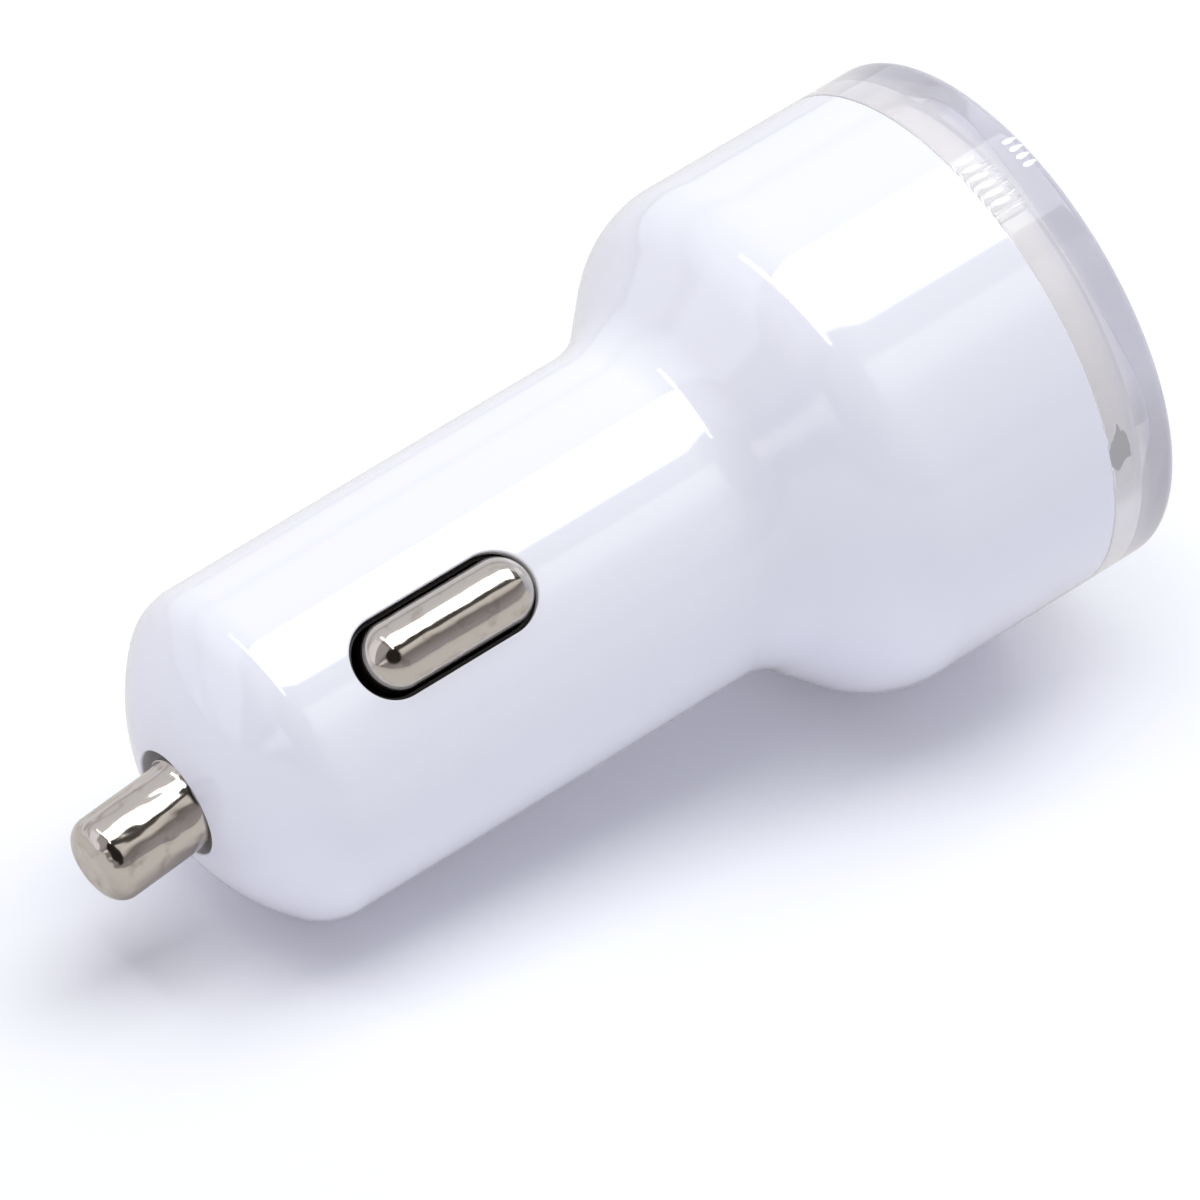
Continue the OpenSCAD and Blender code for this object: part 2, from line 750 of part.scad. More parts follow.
// The inductor's drum-shaped ferrite core, standing on the board.
module inductor_core() {
    color("dimgray")
        translate([board_face, 0, inductor_z])
            rotate([0, 90, 0])
                rotate_extrude() {
                    square([groove_r, inductor_h]);
                    square([inductor_d / 2, inductor_rim]);
                    translate([0, inductor_h - inductor_rim]) square([inductor_d / 2, inductor_rim]);
                }
}

// The copper wound in the core's groove.
module inductor_winding() {
    depth = inductor_d / 2 - groove_r - side_gap - winding_drop;
    length = inductor_h - 2 * inductor_rim - 2 * side_gap;
    color("peru")
        translate([board_face + inductor_rim + side_gap, 0, inductor_z])
            rotate([0, 90, 0])
                rotate_extrude()
                    translate([groove_r + side_gap, 0]) square([depth, length]);
}

// A can capacitor along +Z, with the rolled groove near its base.
module can(length) {
    rotate_extrude()
        difference() {
            square([can_r, length]);
            translate([can_r, can_groove_z]) circle(can_groove);
        }
}

// The input capacitor lies along the board, with its leads bent down to it.
module input_capacitor() {
    lift = can_r + side_gap;
    color("slategray")
        translate([-board_face - lift, 0, input_can_z]) {
            can(input_can_len);
            for (side = [-1, 1])
                translate([0, side * lead_pitch / 2, -lead_len]) {
                    cylinder(h = lead_len, d = lead_d, $fn = 24);
                    sphere(d = lead_d, $fn = 24);
                    rotate([0, 90, 0]) cylinder(h = lift, d = lead_d, $fn = 24);
                }
        }
}

// The output capacitor stands on the board.
module output_capacitor() {
    color("slategray")
        translate([board_face, -can_r - part_gap / 2, parts_z + can_r])
            rotate([0, 90, 0]) can(output_can_len);
}

// The converter chip: an epoxy body with four bent legs a side.
module converter_chip() {
    knee = (chip_h + leg_t) / 2;
    color("black")
        translate([-board_face, chip_y, parts_z + chip_len / 2]) {
            translate([-chip_h, -chip_w / 2, -chip_len / 2]) cube([chip_h - body_lift, chip_w, chip_len]);
            for (side = [-1, 1], leg = [-1.5 : 1.5])
                translate([0, side * (chip_w + leg_reach) / 2, leg * leg_pitch]) {
                    translate([-chip_h / 2, 0, 0]) cube([leg_t, leg_reach, leg_w], center = true);
                    translate([-knee / 2, side * (leg_reach - leg_t) / 2, 0])
                        cube([knee, leg_t, leg_w], center = true);
                }
        }
}

// The rectifier diode: a moulded block with a folded tab at each end.
module rectifier_diode() {
    color("black")
        translate([board_face, 0, diode_z]) {
            translate([body_lift, -diode_w / 2, 0]) cube([diode_h - body_lift, diode_w, diode_len]);
            for (end_z = [-tab_reach, diode_len + tab_reach - tab_len])
                translate([0, -tab_w / 2, end_z]) cube([leg_t, tab_w, tab_len]);
        }
}

// A small block part on a face of the board, with its size given as height, width and length.
module chip_part(face, place_y, place_z, size) {
    translate([face * (board_face + size.x / 2), place_y, place_z]) cube(size, center = true);
}

// The fuse near the nose, in the path of the tip's current.
module fuse() {
    color("ivory")
        chip_part(-1, 0, contact_z, [fuse_h, fuse_w, fuse_len]);
}

// Two small lights at the board's head corners, each with a round window.
module indicator_lights() {
    window_r = led_w / 2 - led_rim;
    color("ivory")
        for (side = [-1, 1])
            translate([board_face, side * led_y, led_z])
                difference() {
                    translate([0, -led_w / 2, -led_w / 2]) cube([led_h, led_w, led_w]);
                    translate([led_h - led_window, 0, 0])
                        rotate([0, 90, 0]) cylinder(h = over, r = window_r);
                }
}

// Chip resistors in a column on each face, one part gap apart.
module resistor_column(face, place_y, count) {
    for (row = [0 : count - 1])
        chip_part(
            face, place_y, parts_z + resistor_w / 2 + row * (resistor_w + part_gap),
            [resistor_h, resistor_len, resistor_w]
        );
}

module chip_resistors() {
    color("dimgray") {
        resistor_column(-1, -ceramic_w - part_gap - resistor_len / 2, 3);
        resistor_column(1, ceramic_w + 1.5 * part_gap + resistor_len / 2, 2);
    }
}

module chip_capacitors() {
    size = [ceramic_h, ceramic_w, ceramic_len];
    color("tan") {
        chip_part(-1, -ceramic_w / 2, parts_z + ceramic_len / 2, size);
        chip_part(1, (part_gap + ceramic_w) / 2, parts_z + ceramic_len / 2, size);
        chip_part(1, 0, contact_z, size);
    }
}

shell();
light_ring();
face_insert();
circuit_board();
color("silver") rotate([0, 0, 180]) usb_case();  // usb_case_left
color("silver") usb_case();  // usb_case_right
color("ivory") rotate([0, 0, 180]) usb_core();  // usb_core_left
color("ivory") usb_core();  // usb_core_right
color("gold") rotate([0, 0, 180]) usb_strips();  // usb_strips_left
color("gold") usb_strips();  // usb_strips_right
tip_contact();
tip_spring();
rotate([0, 0, 180]) side_contact();  // side_contact_front
side_contact();  // side_contact_back
rotate([0, 0, 180]) side_spring();  // side_spring_front
side_spring();  // side_spring_back
rotate([0, 0, 180]) contact_guide();  // contact_guide_front
contact_guide();  // contact_guide_back
inductor_core();
inductor_winding();
input_capacitor();
output_capacitor();
converter_chip();
rectifier_diode();
fuse();
indicator_lights();
chip_resistors();
chip_capacitors();
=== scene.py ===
# %% [markdown]
# # A two-port car charger plug
#
# The real object is a glossy white moulded body with a clear plastic ring at its
# face and three sprung nickel contacts: a tip pin in the nose and a long dome on
# each side of the barrel. Its face is turned away in the photograph, and gets two
# metal sockets in a white insert, as such plugs have. It lies on a white table,
# on its shoulder and its nose.
#
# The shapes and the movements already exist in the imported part, so this lesson
# only dresses it. Each piece that shows gets a finer surface in the same place,
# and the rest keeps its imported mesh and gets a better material.

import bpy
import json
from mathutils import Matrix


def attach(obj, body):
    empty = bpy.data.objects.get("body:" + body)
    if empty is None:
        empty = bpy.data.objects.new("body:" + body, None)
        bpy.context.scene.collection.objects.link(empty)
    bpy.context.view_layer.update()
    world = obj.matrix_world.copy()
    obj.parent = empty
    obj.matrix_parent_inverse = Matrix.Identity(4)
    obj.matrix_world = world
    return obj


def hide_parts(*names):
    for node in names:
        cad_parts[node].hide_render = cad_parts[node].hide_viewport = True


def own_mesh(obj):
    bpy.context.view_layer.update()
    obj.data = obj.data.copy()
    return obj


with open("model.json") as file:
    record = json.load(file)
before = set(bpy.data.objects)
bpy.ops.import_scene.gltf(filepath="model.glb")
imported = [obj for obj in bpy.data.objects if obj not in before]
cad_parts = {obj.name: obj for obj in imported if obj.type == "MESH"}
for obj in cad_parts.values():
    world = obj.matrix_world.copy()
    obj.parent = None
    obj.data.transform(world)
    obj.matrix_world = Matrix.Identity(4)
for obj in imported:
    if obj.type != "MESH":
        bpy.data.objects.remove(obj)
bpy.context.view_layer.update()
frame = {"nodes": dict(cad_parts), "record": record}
print("packed part:", len(frame["nodes"]), "nodes")

# %% [markdown]
# ## Surfaces from arrays of points
#
# A moulded body is mostly turned shapes and outlines that are swept or blended.
# They could be modelled by hand from a cylinder, but a formula keeps every
# radius exact, which matters on a glossy surface, where a wrong normal shows as
# a broken highlight. So each surface here is a grid of points: one direction of
# the grid goes round the piece, and the other goes along its section.

# %% A mesh from grids of points
import math

import bmesh
import bpy
import numpy as np
from mathutils import Matrix, Vector

MM = 0.001
MERGE_GAP = 0.0005 * MM


def mesh_piece(name, grids, sharp_angle=35):
    """Makes one object from several grids of points in millimetres.

    A grid is an array (rows, columns, 3), or a pair of such an array and an array
    that is True for each cell to keep. Each cell becomes one face. Points that
    meet are merged, so that grids with a shared edge close on each other, and
    the faces are turned to point out of the solid.
    """
    points, faces, count = [], [], 0
    for grid in grids:
        grid, keep = grid if isinstance(grid, tuple) else (grid, None)
        rows, columns = grid.shape[:2]
        index = np.arange(rows * columns).reshape(rows, columns) + count
        cells = np.stack([index[:-1, :-1], index[1:, :-1], index[1:, 1:], index[:-1, 1:]], -1)
        faces.append(cells[keep] if keep is not None else cells.reshape(-1, 4))
        points.append(grid.reshape(-1, 3))
        count += rows * columns
    mesh = bpy.data.meshes.new(name)
    mesh.from_pydata(np.concatenate(points) * MM, [], np.concatenate(faces).tolist())
    shape = bmesh.new()
    shape.from_mesh(mesh)
    bmesh.ops.remove_doubles(shape, verts=shape.verts, dist=MERGE_GAP)
    bmesh.ops.recalc_face_normals(shape, faces=shape.faces)
    open_edges = sum(1 for edge in shape.edges if len(edge.link_faces) != 2)
    shape.to_mesh(mesh)
    shape.free()
    mesh.shade_smooth()
    mesh.set_sharp_from_angle(angle=math.radians(sharp_angle))
    piece = bpy.data.objects.new(name, mesh)
    bpy.context.scene.collection.objects.link(piece)
    print(f"{name}: {len(mesh.polygons)} faces, {open_edges} open edges")
    return piece


# %% Sections and turned surfaces
def arc(centre, radius, start, end, steps):
    """Points of a circle arc: centre + radius (cos a, sin a), for a from start to end in degrees."""
    angle = np.radians(np.linspace(start, end, steps + 1))
    return np.stack([centre[0] + radius * np.cos(angle), centre[1] + radius * np.sin(angle)], -1)


def line(start, end, steps=1):
    """Points of a straight line, in equal steps from its start to its end."""
    return np.linspace(start, end, steps + 1)


LONG_STEP, SUPPORT = 3, 0.3


def supported(section):
    """Adds a point close to each end of a long step that has a short step beside it.

    A step is long from LONG_STEP times the length of the one beside it, and the
    new point lies SUPPORT of that length away. Shading runs smoothly from point
    to point, so without it a small rounded edge would tint the whole long face.
    """
    step = np.diff(section, axis=0)
    length = np.maximum(np.linalg.norm(step, axis=1), 1e-9)
    before, after = np.append(length[:1], length[:-1]), np.append(length[1:], length[-1:])
    low = np.where(length > LONG_STEP * before, SUPPORT * before / length, 0)
    high = np.where(length > LONG_STEP * after, 1 - SUPPORT * after / length, 1)
    points = section[:-1, None] + step[:, None] * np.stack([0 * low, low, high], -1)[..., None]
    points = np.concatenate([points.reshape(-1, 2), section[-1:]])
    return points[np.append(True, np.linalg.norm(np.diff(points, axis=0), axis=1) > 1e-6)]


def turned(section, angles):
    """A turned surface: the point (r, z) at angle a goes to (r cos a, r sin a, z)."""
    r, z = section[:, :1], section[:, 1:]
    return np.stack([r * np.cos(angles), r * np.sin(angles), z + 0 * angles], -1)


# %% [markdown]
# ## The white shell
#
# The shell is one moulding of glossy ABS: a straight head, a shoulder that
# rounds into a 45 degree cone, a soft neck, a barrel with a little draft, and a
# domed nose with a round hole for the tip. Its wall is 1.7 mm thick, and a round
# pocket inside the nose takes the tip's flange.
#
# Turning the section gives all of that, but the two long slots in the barrel
# aren't turned. A boolean cut would leave a hard, ragged edge. Instead, a block
# of cells is left out of the barrel's grid at each slot, and a surface is drawn
# in loops from the block's edge to the slot's outline, over its rounded edge,
# down through the wall and out again to the inside.

# %% The shell's section
HEAD_R, BARREL_R, NOSE_R, WALL = 16.05, 10.4, 10.33, 1.7
RING_H, HEAD_H, NECK_Z, ROOT_Z, NOSE_Z = 4.6, 15.2, 25.572, 36.572, 58.75
SHOULDER, NECK, NOSE_ROUND, CROWN = 6.4, 5.0, 3.5, 13.0
NOSE_FLOOR_Z, HOLE_R, POCKET_R = 56.8, 3.25, 4.4
# The radius of an edge, and how far from a round the points on a straight stretch start.
EDGE, CLEAR = 0.12, 1

shoulder_at = (HEAD_R - SHOULDER, HEAD_H)
neck_at = (BARREL_R + NECK, NECK_Z)
crown_at = (0, NOSE_Z - CROWN)
nose_x = NOSE_R - NOSE_ROUND
nose_at = (nose_x, crown_at[1] + math.sqrt((CROWN - NOSE_ROUND) ** 2 - nose_x ** 2))
nose_turn = math.degrees(math.atan2(nose_at[1] - crown_at[1], nose_x))
print("the nose's round meets its crown at", round(nose_turn, 1), "degrees")


def barrel_radius(z):
    """The barrel's outer radius: constant on its root, then narrowing evenly to the nose."""
    return BARREL_R - (BARREL_R - NOSE_R) * np.clip((z - ROOT_Z) / (nose_at[1] - ROOT_Z), 0, 1)


# %% The slots' places, and the rows of the grid beside them
SLOT_Z, SLOT_R, SLOT_HALF, SLOT_EDGE = 43.3, 2.425, 3.525, 0.12
LIP, SEAT_R = 0.55, 3.225
COLUMNS, BLOCK_COLUMNS, BLOCK_ROWS, ROW_STEP = 288, 20, 38, 0.4

block_z = SLOT_Z + ROW_STEP * (np.arange(BLOCK_ROWS + 1) - BLOCK_ROWS / 2)
block_turn = 2 * math.pi * np.arange(-BLOCK_COLUMNS, BLOCK_COLUMNS + 1) / COLUMNS
outer_rows = np.stack([barrel_radius(block_z), block_z], -1)
inner_rows = outer_rows[::-1] - [WALL, 0]

hole_edge_x = HOLE_R + EDGE
hole_edge = (hole_edge_x, crown_at[1] + math.sqrt((CROWN - EDGE) ** 2 - hole_edge_x ** 2))
hole_turn = math.degrees(math.atan2(hole_edge[1] - crown_at[1], hole_edge_x))
pocket_turn = math.degrees(math.acos(POCKET_R / (CROWN - WALL)))

outside = supported(np.concatenate([
    arc((HEAD_R - EDGE, RING_H + EDGE), EDGE, -90, 0, 4),
    line((HEAD_R, RING_H + CLEAR), (HEAD_R, HEAD_H - CLEAR), 4),
    arc(shoulder_at, SHOULDER, 0, 45, 24),
    arc(neck_at, NECK, 225, 180, 24),
    line((BARREL_R, NECK_Z + CLEAR), (BARREL_R, block_z[0] - CLEAR), 3),
]))
hole = supported(np.concatenate([
    arc(nose_at, NOSE_ROUND, 0, nose_turn, 20),
    arc(crown_at, CROWN, nose_turn, hole_turn, 20)[1:],
    arc(hole_edge, EDGE, hole_turn, 180, 6)[1:],
    line((HOLE_R, NOSE_FLOOR_Z), (POCKET_R, NOSE_FLOOR_Z)),
    arc(crown_at, CROWN - WALL, pocket_turn, nose_turn, 6),
    arc(nose_at, NOSE_ROUND - WALL, nose_turn, 0, 6)[1:],
]))
inside = supported(np.concatenate([
    line((BARREL_R - WALL, block_z[0] - CLEAR), (BARREL_R - WALL, NECK_Z + CLEAR), 3),
    arc(neck_at, NECK + WALL, 180, 225, 10),
    arc(shoulder_at, SHOULDER - WALL, 45, 0, 10),
    line((HEAD_R - WALL, HEAD_H - CLEAR), (HEAD_R - WALL, RING_H + CLEAR), 4),
    arc((HEAD_R - WALL + EDGE, RING_H + EDGE), EDGE, 180, 270, 4),
]))
section = np.concatenate([outside, outer_rows, hole, inner_rows, inside, outside[:1]])
print("section of the shell:", len(section), "points, nose crown at", NOSE_Z, "mm")

# %% The turned body, with a block left open at each slot
around = 2 * math.pi * np.arange(COLUMNS + 1) / COLUMNS
first_outer = len(outside)
first_inner = first_outer + len(outer_rows) + len(hole)
kept = np.ones((len(section) - 1, COLUMNS), bool)
for first in (first_outer, first_inner):
    for middle in (COLUMNS // 4, 3 * COLUMNS // 4):
        kept[first:first + BLOCK_ROWS, middle - BLOCK_COLUMNS:middle + BLOCK_COLUMNS] = False
print("cells left out at the slots:", int((~kept).sum()))

# %% The surface round a slot
TOWARDS_SLOT = (0, 0.15, 0.3, 0.5, 0.7, 0.85, 0.95, 0.985, 1)


def slot_surface():
    """Loops round the slot, drawn for +Y.

    Each point of the block's edge has a nearest point on the slot's middle line.
    A loop of radius r lies at that distance from the middle line, towards the
    block's edge, and its height Y comes from the cylinder that it lies on. The
    first loops go by the shares TOWARDS_SLOT from the block's edge to the slot.
    """
    turn = np.concatenate([
        block_turn,
        np.full(BLOCK_ROWS, block_turn[-1]),
        block_turn[-2::-1],
        np.full(BLOCK_ROWS, block_turn[0]),
    ])
    z = np.concatenate([
        np.full(2 * BLOCK_COLUMNS + 1, block_z[0]),
        block_z[1:],
        np.full(2 * BLOCK_COLUMNS, block_z[-1]),
        block_z[-2::-1],
    ])
    outer = np.stack([barrel_radius(z) * np.sin(turn), z - SLOT_Z], -1)
    inner = np.stack([(barrel_radius(z) - WALL) * np.sin(turn), z - SLOT_Z], -1)
    middle = np.stack([0 * z, np.clip(z - SLOT_Z, -SLOT_HALF, SLOT_HALF)], -1)
    away = outer - middle
    away /= np.linalg.norm(away, axis=1, keepdims=True)

    def loop(flat, depth=0, drop=0):
        radius = barrel_radius(flat[:, 1] + SLOT_Z) - depth
        y = np.sqrt(radius ** 2 - flat[:, 0] ** 2) - drop
        return np.stack([flat[:, 0], y, flat[:, 1] + SLOT_Z], -1)

    edge = middle + (SLOT_R + SLOT_EDGE) * away
    loops = [loop(outer + (edge - outer) * share) for share in TOWARDS_SLOT]
    for turn_in in np.radians(np.linspace(0, 90, 7))[1:]:
        radius = SLOT_R + SLOT_EDGE * (1 - math.sin(turn_in))
        loops.append(loop(middle + radius * away, drop=SLOT_EDGE * (1 - math.cos(turn_in))))
    seat = middle + SEAT_R * away
    loops += [loop(middle + SLOT_R * away, LIP), loop(seat, LIP), loop(seat, WALL)]
    loops += [loop(seat + (inner - seat) * share, WALL) for share in (0.5, 1)]
    return np.stack(loops)


# %% The ribs that hold the circuit board
def block(low, high):
    """A box: a ring of four corners at each end, closed by a point in the middle of each end."""
    (x0, y0, z0), (x1, y1, z1) = low, high
    ring = np.array([(x0, y0), (x1, y0), (x1, y1), (x0, y1), (x0, y0)])
    centre = np.full((5, 2), ((x0 + x1) / 2, (y0 + y1) / 2))
    flat = np.stack([centre, ring, ring, centre])
    height = np.repeat([z0, z0, z1, z1], 5).reshape(4, 5, 1)
    return np.concatenate([flat, height], -1)


# A rib goes from the board's groove to the middle of the wall, between two heights.
RIB_NEAR, RIB_FAR = 0.9, 1.9
HEAD_RIB = (11.4, HEAD_R - WALL / 2, 7.7, HEAD_H)
BARREL_RIB = (6.6, BARREL_R - WALL / 2, NECK_Z, 35.665)
ribs = []
for side_x in (-1, 1):
    for side_y in (-1, 1):
        for edge_y, wall_y, low_z, high_z in (HEAD_RIB, BARREL_RIB):
            ends_x = sorted((side_x * RIB_NEAR, side_x * RIB_FAR))
            ends_y = sorted((side_y * edge_y, side_y * wall_y))
            ribs.append(block((ends_x[0], ends_y[0], low_z), (ends_x[1], ends_y[1], high_z)))
print(len(ribs), "ribs for the board")

# %% Build the shell
OTHER_SIDE = [-1, -1, 1]
slot_back = slot_surface()
shell = mesh_piece(
    "shell_moulding",
    [(turned(section, around), kept), slot_back, slot_back * OTHER_SIDE, *ribs],
)

# %% [markdown]
# ## The clear ring
#
# The ring is moulded in clear acrylic. It has a flat end wall with a large
# rounded opening for the insert, a round outer rim, and a thin spigot that
# enters the shell. Two rows of small grooves inside it catch the light of the
# indicator lights.
#
# Its loops are circles on the outside and a rounded rectangle at the opening, so
# each loop is given as a radius for every angle. The angles lie closer together
# at the light grooves, where the surface needs more points.

# %% The ring's loops
RING_FLOOR, RING_ROUND, SPIGOT_R, BORE_R, SPIGOT_TOP = 1.7, 0.8, 14.25, 13.4, 7.6
OPEN_X, OPEN_Y, OPEN_ROUND, OPEN_EDGE = 9.475, 8.45, 3.1, 0.15
NOTCH_R, NOTCH_PITCH, NOTCHES, NOTCH_TURNS = 0.22, 0.62, 6, (-71, 109)
SPIGOT_BEVEL, NOTCH_RIM = 0.2, 0.25


def rounded_rectangle(angles, grow):
    """Distance from the middle to a rounded rectangle, grown on all sides, along each angle.

    A ray meets the side, the end, or else the corner's circle, whose distance is
    k.d + sqrt((k.d)^2 - k.k + r^2) for the circle's centre k and the direction d.
    """
    x, y, r = OPEN_X + grow, OPEN_Y + grow, OPEN_ROUND + grow
    across, along = np.abs(np.cos(angles)) + 1e-9, np.abs(np.sin(angles)) + 1e-9
    reach = (x - r) * across + (y - r) * along
    corner = reach + np.sqrt(np.maximum(reach ** 2 - (x - r) ** 2 - (y - r) ** 2 + r ** 2, 0))
    distance = np.where(x * along / across <= y - r, x / across, corner)
    return np.where(y * across / along <= x - r, y / along, distance)


def groove_depth(angles):
    """Depth of the round light grooves: sqrt(r^2 - s^2) at the distance s from a groove's middle."""
    step = NOTCH_PITCH / BORE_R
    depth = 0 * angles
    for row in NOTCH_TURNS:
        for place in range(NOTCHES):
            middle = math.radians(row) + (place - (NOTCHES - 1) / 2) * step
            s = BORE_R * np.angle(np.exp(1j * (angles - middle)))
            depth = np.maximum(depth, np.sqrt(np.maximum(NOTCH_R ** 2 - s ** 2, 0)))
    return depth


# %% Build the ring
RING_STEPS, NOTCH_STEPS, NOTCH_REACH = 240, 99, 2.2
coarse = np.linspace(-math.pi, math.pi, RING_STEPS + 1)
fine = np.linspace(-NOTCH_REACH, NOTCH_REACH, NOTCH_STEPS + 1) / BORE_R
ring_angles = np.concatenate([coarse] + [math.radians(row) + fine for row in NOTCH_TURNS])
ring_angles = np.unique(np.round(ring_angles, 6))
circle = 1 + 0 * ring_angles


def ring_loop(radius, z):
    """One loop: at each angle a, the point (r cos a, r sin a, z) with that angle's radius r."""
    return np.stack([radius * np.cos(ring_angles), radius * np.sin(ring_angles), z + 0 * ring_angles], -1)


ring_loops = []
for turn_out in np.radians([90, 60, 30, 0]):
    grow = OPEN_EDGE * (1 - math.sin(turn_out))
    ring_loops.append(ring_loop(rounded_rectangle(ring_angles, grow), OPEN_EDGE * (1 - math.cos(turn_out))))
rim = supported(np.concatenate([
    arc((HEAD_R - RING_ROUND, RING_ROUND), RING_ROUND, -90, 0, 12),
    arc((HEAD_R - EDGE, RING_H - EDGE), EDGE, 0, 90, 4),
    line((SPIGOT_R, RING_H), (SPIGOT_R, SPIGOT_TOP - SPIGOT_BEVEL)),
    line((SPIGOT_R - SPIGOT_BEVEL, SPIGOT_TOP), (BORE_R + NOTCH_RIM, SPIGOT_TOP)),
]))
ring_loops += [ring_loop(r * circle, z) for r, z in rim]
ring_loops += [ring_loop(BORE_R + groove_depth(ring_angles), z) for z in (SPIGOT_TOP, RING_FLOOR)]
ring_loops.append(ring_loop(rounded_rectangle(ring_angles, 0), RING_FLOOR))
ring_loops.append(ring_loops[0])
light_ring = mesh_piece("light_ring_clear", [np.stack(ring_loops)])

# %% [markdown]
# ### The facets of the light grooves
#
# Beside each row of grooves sit small mirror facets that also glow a little,
# a painted glint that shows as a row of bright dashes: six long ones inside the
# wall, and four short ones near the outer face. Each one is a flattened
# ellipsoid that lies along the wall, a little slanted.

# %% Build the facets
FACET_TILT, FACET_TURNS = math.radians(7), (-68, 112)
# Their number, the degrees between them, their radius and height, and their half sizes.
LONG_FACETS = (6, 2.56, 13.9, 3.05, (0.17, 0.62, 0.03))
SHORT_FACETS = (4, 2.3, 15.1, 0.62, (0.19, 0.3, 0.03))
bead_a = np.linspace(0, 2 * math.pi, 17)
bead_b = np.linspace(0, math.pi, 33)[:, None]


def facet(turn, radius, z, size, ragged=0):
    """An ellipsoid, tilted, and then turned about Z to its radius and height.

    Its points are the three half sizes times (sin b cos a, cos b, sin b sin a).
    A ragged one grows longer towards one side, in step with the sine, and the
    sines of 5 b and 13 b cut in and out of its edge.
    """
    reach = np.sin(bead_b) * np.cos(bead_a)
    across = size[0] * reach * (1 + ragged * np.sin(5 * bead_b + 1))
    along = size[1] * np.cos(bead_b) * (1 - 2.6 * ragged * reach * (1 + 0.4 * np.sin(13 * bead_b)))
    deep = size[2] * np.sin(bead_b) * np.sin(bead_a)
    c, s = math.cos(FACET_TILT), math.sin(FACET_TILT)
    side, rise = across * c + along * s, along * c - across * s
    return np.stack([
        (radius + deep) * math.cos(turn) - side * math.sin(turn),
        (radius + deep) * math.sin(turn) + side * math.cos(turn),
        z + rise,
    ], -1)


facets = []
for row in FACET_TURNS:
    for number, pitch, radius, z, size in (LONG_FACETS, SHORT_FACETS):
        for place in range(number):
            turn = math.radians(row + (place - (number - 1) / 2) * pitch)
            facets.append(facet(turn, radius, z, size))
glint_facets = mesh_piece("glint_facets", facets)

# %% [markdown]
# A ragged grey patch shows through the clear wall, beside the shell's edge.
# What it is can't be told, so it is made as a thin grey facet with a ragged edge.

# %% Build the grey patch
PATCH_TURN, PATCH_R, PATCH_Z, PATCH_SIZE = math.radians(-134), 15.92, 3.85, (1.3, 0.68, 0.03)
grey_patch_piece = mesh_piece("grey_patch", [facet(PATCH_TURN, PATCH_R, PATCH_Z, PATCH_SIZE, ragged=0.2)])

# %% [markdown]
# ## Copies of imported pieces, with eased edges
#
# The insert and the sockets are plates, slots and folded sheet. Their packed
# solids already have every opening in its place, and what they lack is the small
# radius that a mould or a press leaves on each edge. So a copy of the packed
# mesh is merged, its flat faces are joined, so that no edge crosses them, and a
# Bevel modifier rounds its edges. The joined faces have openings in them and are
# cut to triangles again, because a renderer can fill such an opening wrongly.

# %% A copy with rounded edges
SAME_POINT, FLAT_TURN, SHARP_TURN, BEVEL_TURN = 0.001 * MM, 0.2, 30, 40


def eased_copy(node, radius):
    """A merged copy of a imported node, whose sharp edges get a bevel of a radius in millimetres.

    Edges that turn less than FLAT_TURN degrees go, and those that turn more than
    BEVEL_TURN get the bevel.
    """
    source = frame["nodes"][node].data
    mesh = bpy.data.meshes.new(node + "_eased")
    shape = bmesh.new()
    shape.from_mesh(source)
    bmesh.ops.remove_doubles(shape, verts=shape.verts, dist=SAME_POINT)
    flat = math.radians(FLAT_TURN)
    bmesh.ops.dissolve_limit(shape, angle_limit=flat, verts=shape.verts, edges=shape.edges)
    bmesh.ops.triangulate(shape, faces=[face for face in shape.faces if len(face.verts) > 4])
    shape.to_mesh(mesh)
    shape.free()
    mesh.shade_smooth()
    mesh.set_sharp_from_angle(angle=math.radians(SHARP_TURN))
    piece = bpy.data.objects.new(mesh.name, mesh)
    bpy.context.scene.collection.objects.link(piece)
    bevel = piece.modifiers.new("eased edges", "BEVEL")
    bevel.width = radius * MM
    bevel.segments = 2
    bevel.limit_method = "ANGLE"
    bevel.angle_limit = math.radians(BEVEL_TURN)
    bevel.harden_normals = True
    print(f"{mesh.name}: {len(mesh.polygons)} faces before its bevel")
    return piece


INSERT_EDGE, CASE_EDGE, CORE_EDGE = 0.12, 0.05, 0.06
insert = eased_copy("face_insert", INSERT_EDGE)
cases = [eased_copy(f"usb_case_{side}", CASE_EDGE) for side in ("left", "right")]
cores = [eased_copy(f"usb_core_{side}", CORE_EDGE) for side in ("left", "right")]

# %% [markdown]
# ## The tip contact
#
# The tip is a drawn cap of nickel-plated brass. A coil spring pushes it out
# until its flange meets the inside of the nose, and it is a loose fit in its
# hole, so in the photograph it leans a few degrees and lies against one side of
# the hole, where hardly any gap shows.
#
# It is turned like the shell, about an axis of its own. The section goes up the
# outside from the flange, over the flared collar to the rounded end, and back
# down the inside, because the cap is hollow.

# %% The tip's own axis
TIP_PIVOT_Z, TIP_LEAN = 57.675, math.radians(4.5)
TIP_PLAY = (-0.2, -0.3)


def along_tip(points):
    """Puts points round the tip's leaning axis.

    They are turned about Y by the lean, towards -X, then raised to the pivot in
    the hole and moved sideways by the play.
    """
    x, y, z = points[..., 0], points[..., 1], points[..., 2]
    c, s = math.cos(TIP_LEAN), math.sin(TIP_LEAN)
    return np.stack([x * c - z * s + TIP_PLAY[0], y + TIP_PLAY[1], x * s + z * c + TIP_PIVOT_Z], -1)


